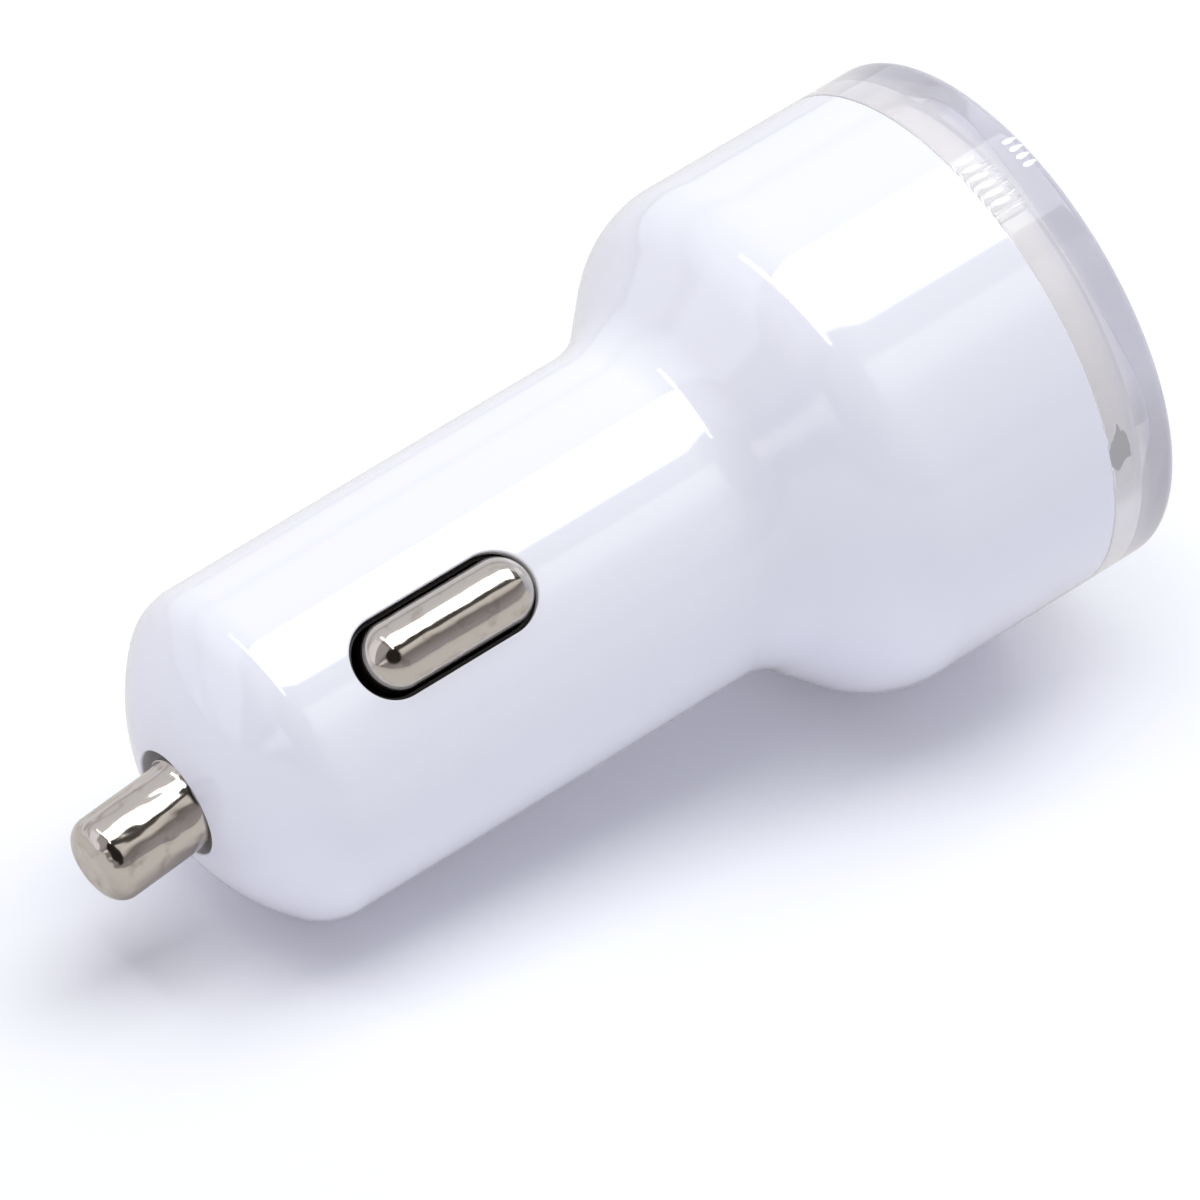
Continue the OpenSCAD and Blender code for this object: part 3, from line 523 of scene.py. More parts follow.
# %% Build the tip
TIP_R, COLLAR_R, FLANGE_R, TIP_WALL, TIP_ROUND = 2.6, 2.82, 4.0, 0.45, 1.2
COLLAR_H, FLARE_H, FLARE_R, TIP_TOP, TIP_SEAT = 0.38, 0.9, 2.8, 6.925, -1.254
FLANGE_EDGE, COLLAR_FILLET, COLLAR_EDGE, MOUTH_ROUND, END_FLAT = 0.1, 0.15, 0.07, 0.3, 0.7
TIP_CLEAR = 0.3

flare_turn = math.degrees(math.asin(FLARE_H / FLARE_R))
tip_section = supported(np.concatenate([
    arc((FLANGE_R - FLANGE_EDGE, TIP_SEAT - TIP_WALL + FLANGE_EDGE), FLANGE_EDGE, -90, 0, 3),
    arc((FLANGE_R - FLANGE_EDGE, TIP_SEAT - FLANGE_EDGE), FLANGE_EDGE, 0, 90, 3),
    arc((COLLAR_R + COLLAR_FILLET, TIP_SEAT + COLLAR_FILLET), COLLAR_FILLET, 270, 180, 4),
    arc((COLLAR_R - COLLAR_EDGE, COLLAR_H - COLLAR_EDGE), COLLAR_EDGE, 0, 90, 4),
    arc((TIP_R + FLARE_R, COLLAR_H + FLARE_H), FLARE_R, 180 + flare_turn, 180, 12),
    line((TIP_R, COLLAR_H + FLARE_H + TIP_CLEAR), (TIP_R, TIP_TOP - TIP_ROUND - TIP_CLEAR), 3),
    arc((TIP_R - TIP_ROUND, TIP_TOP - TIP_ROUND), TIP_ROUND, 0, 90, 20),
    line((END_FLAT, TIP_TOP), (0, TIP_TOP), 2),
    line((0, TIP_TOP - TIP_WALL), (TIP_R - TIP_ROUND, TIP_TOP - TIP_WALL)),
    arc((TIP_R - TIP_ROUND, TIP_TOP - TIP_ROUND), TIP_ROUND - TIP_WALL, 90, 0, 6)[1:],
    arc((TIP_R - TIP_WALL + MOUTH_ROUND, TIP_SEAT - TIP_WALL + MOUTH_ROUND), MOUTH_ROUND, 180, 270, 5),
    [[FLANGE_R - FLANGE_EDGE, TIP_SEAT - TIP_WALL]],
]))
tip_angles = np.linspace(0, 2 * math.pi, 129)
tip = mesh_piece("tip_contact_drawn", [along_tip(turned(tip_section, tip_angles))])

# %% [markdown]
# ## The side contacts
#
# Each side contact is pressed from one sheet of the same metal: a half round
# ridge with quarter spheres for its ends, and a flange that keeps it inside the
# shell. Every level of it is a stadium, which is a middle line with a distance
# all round, so the whole contact is a list of distances and heights. It has a
# little play in its slot and lies against the end near the head, so the dark gap
# is widest at the other end.

# %% A stadium as a middle line and a direction
CONTACT_R, CONTACT_HALF, CREST_Y, CONTACT_WALL = 2.065, 3.525, 11.7, 0.4
CONTACT_FLANGE, FLANGE_TOP, FLANGE_LOW, CONTACT_PLAY = 2.9, 7.948, 7.548, 0.3
PRESS_ROUND = 0.2

end_turn = np.radians(np.linspace(0, 180, 41))
run = np.linspace(CONTACT_HALF, -CONTACT_HALF, 15)[1:-1]
stadium_away = np.concatenate([
    np.stack([np.cos(end_turn), np.sin(end_turn)], -1),
    np.tile([-1.0, 0.0], (len(run), 1)),
    np.stack([-np.cos(end_turn), -np.sin(end_turn)], -1),
    np.tile([1.0, 0.0], (len(run), 1)),
    [[1.0, 0.0]],
])
stadium_middle = np.concatenate([
    np.full(len(end_turn), CONTACT_HALF), run,
    np.full(len(end_turn), -CONTACT_HALF), -run,
    [CONTACT_HALF],
])
print("points round a stadium:", len(stadium_middle))


def stadium_levels(levels):
    """Stadium loops: each level (r, y) has the points middle + r away, at the distance y from the axis."""
    r, y = np.asarray(levels)[:, :1], np.asarray(levels)[:, 1:]
    x = r * stadium_away[:, 0]
    z = SLOT_Z - CONTACT_PLAY + stadium_middle + r * stadium_away[:, 1]
    return np.stack([x, y + 0 * x, z], -1)


# %% Build both side contacts
ridge_y = CREST_Y - CONTACT_R
outer_levels = supported(np.concatenate([
    arc((CONTACT_FLANGE - FLANGE_EDGE, FLANGE_LOW + FLANGE_EDGE), FLANGE_EDGE, -90, 0, 3),
    arc((CONTACT_FLANGE - FLANGE_EDGE, FLANGE_TOP - FLANGE_EDGE), FLANGE_EDGE, 0, 90, 3),
    arc((CONTACT_R + PRESS_ROUND, FLANGE_TOP + PRESS_ROUND), PRESS_ROUND, 270, 180, 4),
    arc((0, ridge_y), CONTACT_R, 0, 90, 24),
]))
ridge_inside = CONTACT_R - CONTACT_WALL
inner_levels = supported(np.concatenate([
    arc((0, ridge_y), ridge_inside, 90, 0, 8),
    arc((ridge_inside + PRESS_ROUND, FLANGE_LOW + PRESS_ROUND), PRESS_ROUND, 180, 270, 4),
    [[CONTACT_FLANGE - FLANGE_EDGE, FLANGE_LOW]],
]))
contact_grids = [stadium_levels(outer_levels), stadium_levels(inner_levels)]
contact_back = mesh_piece("side_contact_back_drawn", contact_grids)
contact_front = mesh_piece("side_contact_front_drawn", [grid * OTHER_SIDE for grid in contact_grids])

# %% [markdown]
# ## The springs
#
# A coil spring stands on the board's end inside the tip, and a bowed strip of
# spring steel stands on the board's edge behind each side contact. A coil is a
# circle carried along a helix. The strip is an arc with two flat feet.

# %% The coil
COIL_R, WIRE, TURNS, COIL_LOW, COIL_HIGH = 1.5, 0.4, 8, -6.849, 6.225
TURN_STEPS, WIRE_STEPS = 28, 12


def coil_grid():
    """A tube along a helix: its ring leaves the coil's axis by cos b and rises by sin b, at the turn t."""
    turn = np.linspace(0, 2 * math.pi * TURNS, TURNS * TURN_STEPS + 1)[:, None]
    b = np.linspace(0, 2 * math.pi, WIRE_STEPS + 1)
    rise = COIL_LOW + (COIL_HIGH - COIL_LOW) * turn / turn[-1]
    wire = np.full_like(turn, WIRE / 2)
    wire = np.concatenate([[[0.0]], wire, [[0.0]]])
    turn, rise = (np.concatenate([value[:1], value, value[-1:]]) for value in (turn, rise))
    r = COIL_R + wire * np.cos(b)
    return along_tip(np.stack([r * np.cos(turn), r * np.sin(turn), rise + wire * np.sin(b)], -1))


coil = mesh_piece("tip_coil", [coil_grid()], sharp_angle=60)

# %% The bowed strips
BOARD_Y, BOW_RISE, BOW_T, BOW_W, BOW_HALF, BOW_FOOT = 4.948, 2.55, 0.25, 3.0, 4.8, 1.0
bow_sag = BOW_RISE - BOW_T
bow_r = (BOW_HALF ** 2 + bow_sag ** 2) / (2 * bow_sag)


def bow_grid():
    """A flat strip whose middle line is a foot, an arc and a foot; its four corners follow the line."""
    half_turn = math.asin(BOW_HALF / bow_r)
    turn = np.linspace(-half_turn, half_turn, 41)
    z = np.concatenate([[-BOW_HALF - BOW_FOOT], bow_r * np.sin(turn), [BOW_HALF + BOW_FOOT]])
    y = np.concatenate([[0], bow_r * np.cos(turn) - bow_r * math.cos(half_turn), [0]])
    corners = np.array([(-1, 0), (1, 0), (1, 1), (-1, 1), (-1, 0)], float)
    x = np.broadcast_to(corners[:, 0] * BOW_W / 2, (len(z), 5))
    body = np.stack([x, BOARD_Y + y[:, None] + BOW_T * corners[:, 1], SLOT_Z + z[:, None] + 0 * x], -1)
    ends = [np.broadcast_to(row[:4].mean(0), (1, 5, 3)) for row in (body[0], body[-1])]
    return np.concatenate([ends[0], body, ends[1]])


bow_back = mesh_piece("side_bow_back", [bow_grid()])
bow_front = mesh_piece("side_bow_front", [bow_grid() * OTHER_SIDE])

# %% [markdown]
# ## What each piece stands for, and what it rides on
#
# The imported part has four bodies: the housing, the tip and the two side
# contacts. Each new piece hides the node that it stands for and moves with the
# same body. The springs stand in the housing.

# %% Ride and replace
dressed = [
    (shell, "shell", "white_plastic"),
    (light_ring, "light_ring", "clear_plastic"),
    (insert, "face_insert", "insert_plastic"),
    (cases[0], "usb_case_left", "socket_steel"),
    (cases[1], "usb_case_right", "socket_steel"),
    (cores[0], "usb_core_left", "socket_plastic"),
    (cores[1], "usb_core_right", "socket_plastic"),
    (tip, "tip_contact", "nickel"),
    (contact_front, "side_contact_front", "nickel"),
    (contact_back, "side_contact_back", "nickel"),
    (coil, "tip_spring", "spring_steel"),
    (bow_front, "side_spring_front", "spring_steel"),
    (bow_back, "side_spring_back", "spring_steel"),
]
bodies = frame["record"]["behaviour"]["bodies"]
body_of_node = {node: body for body, nodes in bodies.items() for node in nodes}
for piece, node, slot in dressed:
    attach(piece, body_of_node[node])
    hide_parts(node)

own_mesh(coil)
for piece, joint, side in ((bow_front, "front_contact_press", -1), (bow_back, "back_contact_press", 1)):
    foot = (0, side * BOARD_Y * MM, SLOT_Z * MM)
    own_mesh(piece)
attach(glint_facets, body_of_node["light_ring"])
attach(grey_patch_piece, body_of_node["light_ring"])

# %% [markdown]
# ## Materials
#
# Every material starts from the real one. Colours are written as sRGB hex, the
# way a colour picker shows them, and one function turns them to the linear
# values that Blender's shaders work in. Patterns read Object coordinates in
# metres, so a pattern with a real size of s metres has a scale of 1 / s.


# %% Colours, nodes and new materials
def linear(hex_colour):
    """sRGB to linear: c / 12.92 for a dark channel, and ((c + 0.055) / 1.055) ^ 2.4 for the rest."""
    srgb = np.array([int(hex_colour[at:at + 2], 16) for at in (1, 3, 5)]) / 255
    value = np.where(srgb <= 0.04045, srgb / 12.92, ((srgb + 0.055) / 1.055) ** 2.4)
    return (*value.tolist(), 1.0)


def add_node(tree, kind, inputs=None, **settings):
    """Adds a node, sets its properties, and gives each named input a value or a link from a socket."""
    node = tree.nodes.new(kind)
    for name, value in settings.items():
        setattr(node, name, value)
    for name, value in (inputs or {}).items():
        if isinstance(value, bpy.types.NodeSocket):
            tree.links.new(value, node.inputs[name])
        else:
            node.inputs[name].default_value = value
    return node


def new_material(name, colour, **inputs):
    """A material with one Principled shader; inputs are socket names with _ for a space."""
    material = bpy.data.materials.new(name)
    material.use_nodes = True
    shader = material.node_tree.nodes["Principled BSDF"]
    shader.inputs["Base Color"].default_value = linear(colour)
    shader.inputs["Emission Color"].default_value = linear(colour)
    for socket, value in inputs.items():
        shader.inputs[socket.replace("_", " ")].default_value = value
    return material, material.node_tree, shader


def wear(piece_list, material):
    """Gives each piece the material in all its slots, or in a first slot of its own."""
    for piece in piece_list:
        for slot in piece.material_slots:
            slot.material = material
        if not piece.material_slots:
            piece.data.materials.append(material)
    print(material.name, "on", len(piece_list), "pieces")


# %% [markdown]
# ### Glossy ABS
#
# The shell is white ABS from a polished mould. The dye is a slightly cool white
# and the skin is smooth, so lamps show in it as crisp streaks, while the plastic
# below scatters the light softly. A very shallow waviness of about 6 mm, which
# moulded walls have, keeps the streaks from looking drawn with a ruler.

# %% White shell
WAVE_LENGTH, WAVE_DEPTH = 6 * MM, 0.02 * MM

abs_white, tree, shader = new_material(
    "glossy_white_abs", "#F3F3F7", Roughness=0.08, IOR=1.53, Specular_IOR_Level=0.85,
)
place = add_node(tree, "ShaderNodeTexCoord").outputs["Object"]
waves = add_node(tree, "ShaderNodeTexNoise", {"Vector": place, "Scale": 1 / WAVE_LENGTH, "Detail": 1.0})
height = waves.outputs["Fac"]
bump = add_node(tree, "ShaderNodeBump", {"Height": height, "Distance": WAVE_DEPTH, "Strength": 0.25})
tree.links.new(bump.outputs["Normal"], shader.inputs["Normal"])
wear([shell], abs_white)

# %% [markdown]
# ### Clear acrylic
#
# The ring is clear PMMA, whose refractive index is 1.49. It lets lamps through
# to the white insert behind it. Cycles doesn't send a lamp's light through glass
# by itself, so for shadow rays the material is a transparent shader. The ring
# also has a small even glow of its own, which is painted light that lifts its
# shaded side. Its base colour is painted cool grey in the outer band and paler
# in the band beside the shell: painted shade and painted light for the dark
# inside seen through the outer band and the white insert behind the other.

# %% Clear ring
BAND_START, BAND_END = 2.0 * MM, 2.4 * MM

acrylic, tree, shader = new_material(
    "clear_acrylic", "#D0CED4", Transmission_Weight=0.72, Roughness=0.06, IOR=1.49,
    Specular_IOR_Level=0.3, Emission_Strength=0.18,
)
# The bands take the base colour below, so the colour above is only that of the glow, which is painted light.
is_shadow = add_node(tree, "ShaderNodeLightPath").outputs["Is Shadow Ray"]
through = add_node(tree, "ShaderNodeBsdfTransparent", {"Color": linear("#F4F2F4")})
mix = add_node(tree, "ShaderNodeMixShader", {0: is_shadow, 1: shader.outputs[0], 2: through.outputs[0]})
tree.links.new(mix.outputs[0], tree.nodes["Material Output"].inputs["Surface"])

place = add_node(tree, "ShaderNodeTexCoord").outputs["Object"]
depth = add_node(tree, "ShaderNodeSeparateXYZ", {"Vector": place}).outputs["Z"]
deeper = add_node(tree, "ShaderNodeMapRange", {"Value": depth, "From Min": BAND_START, "From Max": BAND_END})
# The two bands of base colour are painted shade and painted light for what shows through the wall.
painted_band_tones = add_node(
    tree, "ShaderNodeMix",
    {0: deeper.outputs[0], 6: linear("#BCBCC4"), 7: linear("#CFCDCB")}, data_type="RGBA",
)
tree.links.new(painted_band_tones.outputs[2], shader.inputs["Base Color"])
wear([light_ring], acrylic)

# %% Facets and the grey patch
# The facets are mirror metal, and their emission is a painted glint.
polished = new_material("glowing_glint_facets", "#FFFFFF", Metallic=1.0, Roughness=0.15, Emission_Strength=0.5)[0]
# The grey patch is a plain grey facet with a ragged edge.
grey_matte = new_material("grey_patch_matte", "#8A8E90", Roughness=0.5)[0]
wear([glint_facets], polished)
wear([grey_patch_piece], grey_matte)

# %% [markdown]
# ### Nickel plate
#
# The contacts are drawn brass with a thin nickel plate. Nickel is a little warm
# beside chrome. Drawing leaves fine lines and tumbling leaves small pits, so the
# roughness changes over the surface and a fine bump breaks up the reflections.
# Handling leaves a few dull brown stains of about half a millimetre. The tip
# takes the knocks, so its dents are deeper, closer together and drawn out along it.

# %% Nickel contacts
NICKEL, STAIN, STAIN_SIZE = "#CCC6C0", "#ADA49C", 1.1 * MM
# The drawing lines: their width and depth, and their scale along the plug.
LINE_SIZE, LINE_DEPTH, LINE_SCALE = 0.4 * MM, 0.01 * MM, 0.15


def nickel_plate(name, dent_depth, dent_size, stretch):
    """Nickel on drawn brass, with dents of a depth and a size in metres.

    The dents are longer along the plug by the factor stretch.
    """
    nickel, tree, shader = new_material(name, NICKEL, Metallic=1.0, Roughness=0.2)
    place = add_node(tree, "ShaderNodeTexCoord").outputs["Object"]
    grain = add_node(tree, "ShaderNodeMapping", {"Vector": place, "Scale": (1, 1, LINE_SCALE)}).outputs[0]
    lines = add_node(tree, "ShaderNodeTexNoise", {"Vector": grain, "Scale": 1 / LINE_SIZE, "Detail": 3.0})
    line_height = lines.outputs["Fac"]
    rough = add_node(tree, "ShaderNodeMapRange", {"Value": line_height, "To Min": 0.05, "To Max": 0.17})
    bump = add_node(tree, "ShaderNodeBump", {"Height": line_height, "Distance": LINE_DEPTH, "Strength": 0.3})
    drawn = add_node(tree, "ShaderNodeMapping", {"Vector": place, "Scale": (1, 1, 1 / stretch)}).outputs[0]
    dents = add_node(tree, "ShaderNodeTexNoise", {"Vector": drawn, "Scale": 1 / dent_size, "Detail": 1.0})
    relief = {"Height": dents.outputs["Fac"], "Normal": bump.outputs["Normal"]}
    bump = add_node(tree, "ShaderNodeBump", {**relief, "Distance": dent_depth, "Strength": 0.6})
    stains = add_node(tree, "ShaderNodeTexNoise", {"Vector": place, "Scale": 1 / STAIN_SIZE, "Detail": 3.0})
    spots = {"Value": stains.outputs["Fac"], "From Min": 0.56, "From Max": 0.78}
    stained = add_node(tree, "ShaderNodeMapRange", spots).outputs[0]
    colours = {0: stained, 6: linear(NICKEL), 7: linear(STAIN)}
    tint = add_node(tree, "ShaderNodeMix", colours, data_type="RGBA")
    tree.links.new(tint.outputs[2], shader.inputs["Base Color"])
    tree.links.new(rough.outputs[0], shader.inputs["Roughness"])
    tree.links.new(bump.outputs["Normal"], shader.inputs["Normal"])
    return nickel


drawn_nickel = nickel_plate("drawn_nickel_plate", dent_depth=0.07 * MM, dent_size=1.5 * MM, stretch=1)
dented_nickel = nickel_plate("dented_nickel_plate", dent_depth=0.2 * MM, dent_size=1 * MM, stretch=2.5)
wear([contact_front, contact_back], drawn_nickel)
wear([tip], dented_nickel)

# %% [markdown]
# ### Other plastics and metals
#
# The insert is satin white ABS, the guides behind the slots are dull black, a
# colour that paints the shade in the slots' gaps, the sockets' cases are stamped
# steel with tin plate, their tongues are PBT, and the springs are bright spring steel.

# %% Plain finishes
satin = new_material("satin_white_abs", "#ECECEF", Roughness=0.32, IOR=1.53)[0]
# The guides' near-black is painted shade for the slots' gaps.
guide_black = new_material("black_guide_shade", "#1C1514", Roughness=0.45, IOR=1.53)[0]
spring = new_material("bright_spring_steel", "#8F8D89", Metallic=1.0, Roughness=0.3)[0]
case_steel = new_material("tinned_socket_steel", "#C4C4C2", Metallic=1.0, Roughness=0.27)[0]
pbt = new_material("white_pbt", "#EFEEE8", Roughness=0.4, IOR=1.55)[0]
gold = new_material("gold_flash", "#DDB560", Metallic=1.0, Roughness=0.22)[0]
laminate = new_material("green_board_laminate", "#1E5B36", Roughness=0.3, IOR=1.55, Coat_Weight=0.5)[0]
ferrite = new_material("sintered_ferrite", "#2D2E31", Roughness=0.75)[0]
copper = new_material("enamelled_copper", "#B5683C", Metallic=1.0, Roughness=0.28, Coat_Weight=0.6)[0]
can = new_material("drawn_aluminium_can", "#C3C7CC", Metallic=1.0, Roughness=0.3)[0]
epoxy = new_material("moulded_epoxy", "#191A1C", Roughness=0.5)[0]
ceramic = new_material("fired_ceramic", "#B8A284", Roughness=0.55)[0]

node = frame["nodes"]
wear([insert], satin)
wear([node["contact_guide_front"], node["contact_guide_back"]], guide_black)
wear([coil, bow_front, bow_back], spring)
wear(cases, case_steel)
wear(cores + [node["indicator_lights"], node["fuse"]], pbt)
wear([node["usb_strips_left"], node["usb_strips_right"]], gold)
wear([node["circuit_board"]], laminate)
wear([node["inductor_core"]], ferrite)
wear([node["inductor_winding"]], copper)
wear([node["input_capacitor"], node["output_capacitor"]], can)
wear([node["converter_chip"], node["rectifier_diode"], node["chip_resistors"]], epoxy)
wear([node["chip_capacitors"]], ceramic)

# %% [markdown]
# ## The camera
#
# The photograph fits a long lens at 0.5 m, with the nose towards the lower left.
# The angle was fitted to the outline of the body: the camera is turned 4 degrees
# round the plug's axis from -Y, 22.1 degrees above the outer face's plane, and
# rolled by -121.2 degrees.

# %% Camera at the photograph's angle
TURN, RISE, ROLL = math.radians(-4), 0.3862, -2.1158
CAMERA_MM, SENSOR, FOCAL = (-2.5316, -462.984, 218.801), 36, 267.06
sight = Matrix.Rotation(TURN, 3, "Z")
back = sight @ Vector((0, -math.cos(RISE), math.sin(RISE)))
level = sight @ Vector((1, 0, 0))
rise = sight @ Vector((0, math.sin(RISE), math.cos(RISE)))
right = math.cos(ROLL) * level + math.sin(ROLL) * rise
up = -math.sin(ROLL) * level + math.cos(ROLL) * rise
camera_at = sight @ Vector(CAMERA_MM) * MM

camera = bpy.data.objects.new("camera", bpy.data.cameras.new("camera"))
camera.data.sensor_width = SENSOR
camera.data.lens = FOCAL
camera.data.clip_start, camera.data.clip_end = 0.01, 20
camera.matrix_world = Matrix.Translation(camera_at) @ Matrix((right, up, back)).transposed().to_4x4()
bpy.context.scene.collection.objects.link(camera)
bpy.context.scene.camera = camera
print("camera at", [round(value, 4) for value in camera_at])


def from_camera(x, y, z):
    """A direction given as (right, up, towards the camera), turned into the part's frame."""
    return (right * x + up * y + back * z).normalized()


# %% [markdown]
# ## The table
#
# The plug lies on its shoulder and its nose. The camera looks down on the table
# by 37.5 degrees, at which the plane touches both rounds within 0.1 mm. Its
# height follows from the section's two circles and isn't set by eye.

# %% Floor plane under the shoulder and the nose
LOOK_DOWN, TABLE_HALF = math.radians(37.5), 1.5
floor_up = from_camera(0, math.cos(LOOK_DOWN), math.sin(LOOK_DOWN))


def reach_of_rounds(direction):
    """How far the shoulder and the nose reach against a direction, in millimetres.

    A round of radius r, turned about Z with its centre at (x, z), reaches
    r + side x - rise z, where side and rise are the direction's parts across Z
    and along it.
    """
    side, rise = math.hypot(direction.x, direction.y), direction.z
    rounds = ((SHOULDER, shoulder_at), (NOSE_ROUND, nose_at))
    return [radius + side * at[0] - rise * at[1] for radius, at in rounds]


reaches = reach_of_rounds(floor_up)
print("the table touches both rounds within", round(abs(reaches[0] - reaches[1]), 3), "mm")
floor_mesh = bpy.data.meshes.new("table")
side_a = floor_up.orthogonal().normalized()
side_b = floor_up.cross(side_a)
foot = -floor_up * max(reaches) * MM
square = ((-1, -1), (1, -1), (1, 1), (-1, 1))
corners = [foot + (side_a * a + side_b * b) * TABLE_HALF for a, b in square]
floor_mesh.from_pydata([tuple(corner) for corner in corners], [], [(0, 1, 2, 3)])
floor = bpy.data.objects.new("table", floor_mesh)
bpy.context.scene.collection.objects.link(floor)

# %% [markdown]
# ### The table's finish
#
# The background of the photograph is pure white and only a soft shadow shows.
# More light would wash out the plug, so what the camera sees of the table shines
# a very little. What lights the plug's underside is a matte white with a small
# even glow, so the places where the plug touches the table don't turn black. In
# a reflection the table is a warmer white, as it shows in the nickel. Seen from
# below it is transparent, so that no view is blocked.

# %% What a ray is for
def ray_masks(tree):
    """Two masks: rays from the camera, straight or through clear plastic, and rays of a reflection."""
    path = add_node(tree, "ShaderNodeLightPath").outputs
    kinds = {0: path["Is Camera Ray"], 1: path["Is Transmission Ray"]}
    seen = add_node(tree, "ShaderNodeMath", kinds, operation="MAXIMUM")
    return seen.outputs[0], path["Is Glossy Ray"]


# %% White table
paper = bpy.data.materials.new("white_paper_table")
paper.use_nodes = True
tree = paper.node_tree
tree.nodes.remove(tree.nodes["Principled BSDF"])
seen, mirrored = ray_masks(tree)
glow = add_node(tree, "ShaderNodeEmission", {"Color": linear("#FFFFFF"), "Strength": 0.02})
pale = add_node(tree, "ShaderNodeBsdfDiffuse", {"Color": linear("#F6F6F8")})
lit = add_node(tree, "ShaderNodeAddShader", {0: pale.outputs[0], 1: glow.outputs[0]})
matte = add_node(tree, "ShaderNodeBsdfDiffuse", {"Color": linear("#E2E2EC")})
even = add_node(tree, "ShaderNodeEmission", {"Color": linear("#D8D8E2"), "Strength": 0.25})
spread = add_node(tree, "ShaderNodeAddShader", {0: matte.outputs[0], 1: even.outputs[0]})
warm = add_node(tree, "ShaderNodeBsdfDiffuse", {"Color": linear("#DDD9D1")})
other = add_node(tree, "ShaderNodeMixShader", {0: mirrored, 1: spread.outputs[0], 2: warm.outputs[0]})
front = add_node(tree, "ShaderNodeMixShader", {0: seen, 1: other.outputs[0], 2: lit.outputs[0]})
behind = add_node(tree, "ShaderNodeNewGeometry").outputs["Backfacing"]
clear = add_node(tree, "ShaderNodeBsdfTransparent")
sheet = add_node(tree, "ShaderNodeMixShader", {0: behind, 1: front.outputs[0], 2: clear.outputs[0]})
tree.links.new(sheet.outputs[0], tree.nodes["Material Output"].inputs["Surface"])
floor_mesh.materials.append(paper)
paper.cycles.emission_sampling = "NONE"

# %% [markdown]
# ## The light
#
# The photograph was lit by one large soft window above the plug. Its reflection
# is what shows: a white band along the nickel and a pale field on the barrel and
# the head, with a crisp lower edge. The band on the long contact starts 12
# degrees above its middle and ends at 30, and a reflection turns twice as far as
# the surface does, so the window reaches from 24 to 60 degrees round the plug's
# axis, measured from the camera's side. A bright frame at its end gives the thin
# curved glints on the shoulder and the nose, and a weak wide lamp lights the nose.
# The light that the ceiling throws back is weak and even, so it is a lamp that
# lights the plug's upper side and has no reflection of its own.

# %% Directions round the plug
def round_axis(degrees, rise=-back.z):
    """A direction at an angle round the plug's axis from the camera's side.

    Its rise is the part of it along the axis. With the rise that is given here,
    the plug's length mirrors the direction to the camera.
    """
    side = Vector((back.x, back.y, 0)).normalized()
    over = Vector((0, 0, 1)).cross(side)
    turn = math.radians(degrees)
    flat = (side * math.cos(turn) + over * math.sin(turn)) * math.sqrt(1 - rise ** 2)
    return Vector((flat.x, flat.y, rise))


print("towards the camera:", [round(value, 3) for value in back])

# %% A soft lamp
DISTANCE, PLUG_MIDDLE = 0.7, Vector((0, 0, 0.03))


def soft_lamp(name, direction, size, radiance, colour):
    """A rectangular lamp that faces the plug, with its first side across the plug's axis.

    Its power is pi x area x radiance.
    """
    data = bpy.data.lights.new(name, "AREA")
    data.shape = "RECTANGLE"
    data.size, data.size_y = size
    data.energy = math.pi * size[0] * size[1] * radiance
    data.color = linear(colour)[:3]
    lamp = bpy.data.objects.new(name, data)
    across = Vector((0, 0, 1)).cross(direction).normalized()
    along = direction.cross(across)
    place = PLUG_MIDDLE + direction * DISTANCE
    lamp.matrix_world = Matrix.Translation(place) @ Matrix((across, along, direction)).transposed().to_4x4()
    lamp.visible_camera = False
    bpy.context.scene.collection.objects.link(lamp)
    return lamp


# %% The window and the weaker lamps
WINDOW_FROM, WINDOW_TO, WINDOW_LONG = 24, 60, 0.9
window_way = round_axis((WINDOW_FROM + WINDOW_TO) / 2)
window_wide = 2 * DISTANCE * math.tan(math.radians(WINDOW_TO - WINDOW_FROM) / 2)
soft_lamp("window", window_way, size=(window_wide, WINDOW_LONG), radiance=2.97, colour="#FBFFFF")
soft_lamp("window_frame", round_axis(48, rise=0.2), size=(0.7, 0.035), radiance=7.0, colour="#FFFFFF")
soft_lamp("nose_fill", round_axis(60, rise=0.78), size=(0.8, 0.8), radiance=0.25, colour="#F4F4FF")
ceiling = soft_lamp("ceiling", round_axis(88), size=(0.6, WINDOW_LONG), radiance=0.24, colour="#FBFFFF")
ceiling.visible_glossy = False
print("window", round(window_wide, 3), "m wide, towards", [round(value, 3) for value in window_way])

# %% [markdown]
# ### The room
#
# Polished things show the room as much as the lamp. Round the plug's axis the
# nickel shows, from the table up: a grey wall that darkens, a strip of light, a
# dark board below the window, the window itself, a pale wall, a thin grey beam,
# and the white background. These colours are only there for reflections, and
# the diffuse light of the room is an even grey. A surface that faces the camera
# mirrors the dark camera, which gives the dark spot near each contact's end.

# %% The tones round the plug's axis, each from an angle in degrees
GREY_WALL = [(-180, "#FFFFFF"), (-110, "#F0F0F4"), (-80, "#C4C2C8"), (-40, "#A8A4A6"), (-14, "#857F7C")]
LIGHT_STRIP = [(-4, "#E8E5E1"), (7, "#F4F1EC")]
DARK_BOARD = [(9, "#4A4440"), (24, "#4A4440")]
BEHIND_WINDOW = [(26, "#88827F"), (60, "#88827F")]
PALE_WALL = [(62, "#EDEDF0"), (100, "#E4E4E8")]
BEAM_AND_BACKGROUND = [(107, "#C0BCBA"), (113, "#EDEDF2"), (180, "#FFFFFF")]
WALLS = GREY_WALL + LIGHT_STRIP + DARK_BOARD + BEHIND_WINDOW + PALE_WALL + BEAM_AND_BACKGROUND
print(len(WALLS), "tones round the plug")

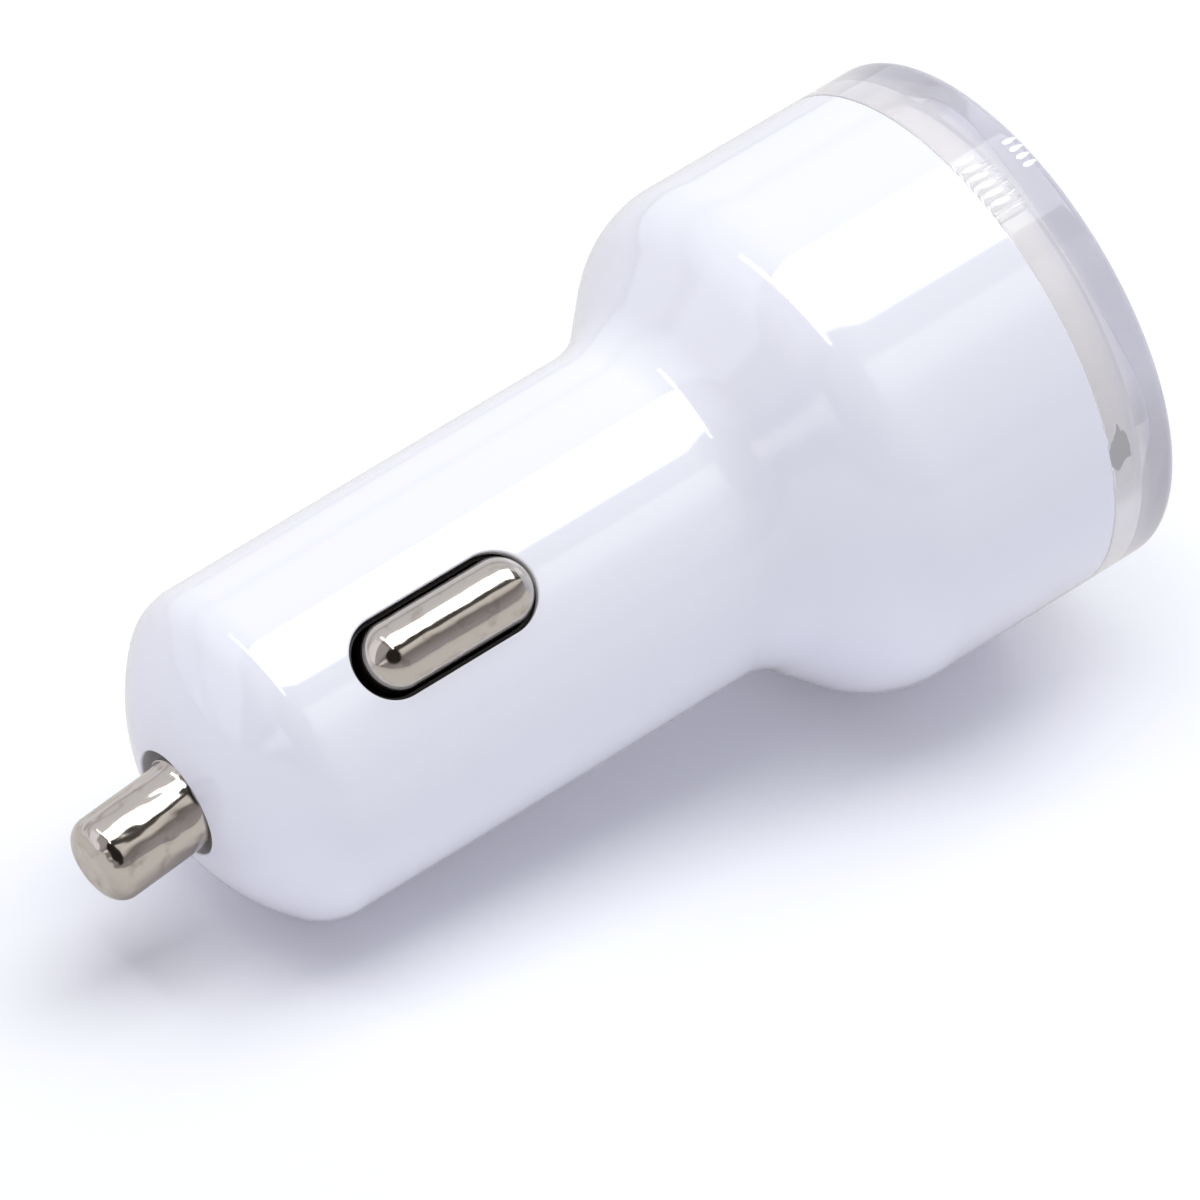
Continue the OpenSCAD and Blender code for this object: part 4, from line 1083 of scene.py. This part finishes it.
# %% The room
LENS_FROM, LENS_TO = 0.89, 0.93
world = bpy.data.worlds.new("white_room")
bpy.context.scene.world = world
world.use_nodes = True
tree = world.node_tree
tree.nodes.clear()
seen, mirrored = ray_masks(tree)
way = add_node(tree, "ShaderNodeTexCoord").outputs["Generated"]


def along(direction):
    """The dot product of a ray's way and a direction."""
    pair = {0: way, 1: direction}
    return add_node(tree, "ShaderNodeVectorMath", pair, operation="DOT_PRODUCT").outputs["Value"]


side = Vector((back.x, back.y, 0)).normalized()
over = Vector((-side.y, side.x, 0))
turn = add_node(tree, "ShaderNodeMath", {0: along(over), 1: along(side)}, operation="ARCTAN2").outputs[0]
part = add_node(tree, "ShaderNodeMapRange", {"Value": turn, "From Min": -math.pi, "From Max": math.pi})
walls = add_node(tree, "ShaderNodeValToRGB", {"Fac": part.outputs[0]})
# A ramp starts with two stops. Each further one is made past them and then moved.
stops = walls.color_ramp.elements
for number, (degrees, colour) in enumerate(WALLS):
    stop = stops[number] if number < 2 else stops.new(0.999)
    stop.position, stop.color = (degrees + 180) / 360, linear(colour)

# %% The lens, the even light and the white background
tones = {0: mirrored, 6: linear("#A3A3AE"), 7: walls.outputs[0]}
shade = add_node(tree, "ShaderNodeMix", tones, data_type="RGBA")
edge = {"Value": along(back), "From Min": LENS_FROM, "From Max": LENS_TO}
spot = add_node(tree, "ShaderNodeMapRange", edge).outputs[0]
spot = add_node(tree, "ShaderNodeMath", {0: spot, 1: mirrored}, operation="MULTIPLY").outputs[0]
tones = {0: spot, 6: shade.outputs[2], 7: linear("#2A2725")}
shade = add_node(tree, "ShaderNodeMix", tones, data_type="RGBA")
room = add_node(tree, "ShaderNodeBackground", {"Color": shade.outputs[2], "Strength": 1.0})
white = add_node(tree, "ShaderNodeBackground", {"Color": (1, 1, 1, 1), "Strength": 1.0})
both = add_node(tree, "ShaderNodeMixShader", {0: seen, 1: room.outputs[0], 2: white.outputs[0]})
add_node(tree, "ShaderNodeOutputWorld", {"Surface": both.outputs[0]})
bpy.context.scene.view_settings.view_transform = "Standard"

# %% Finish
import json
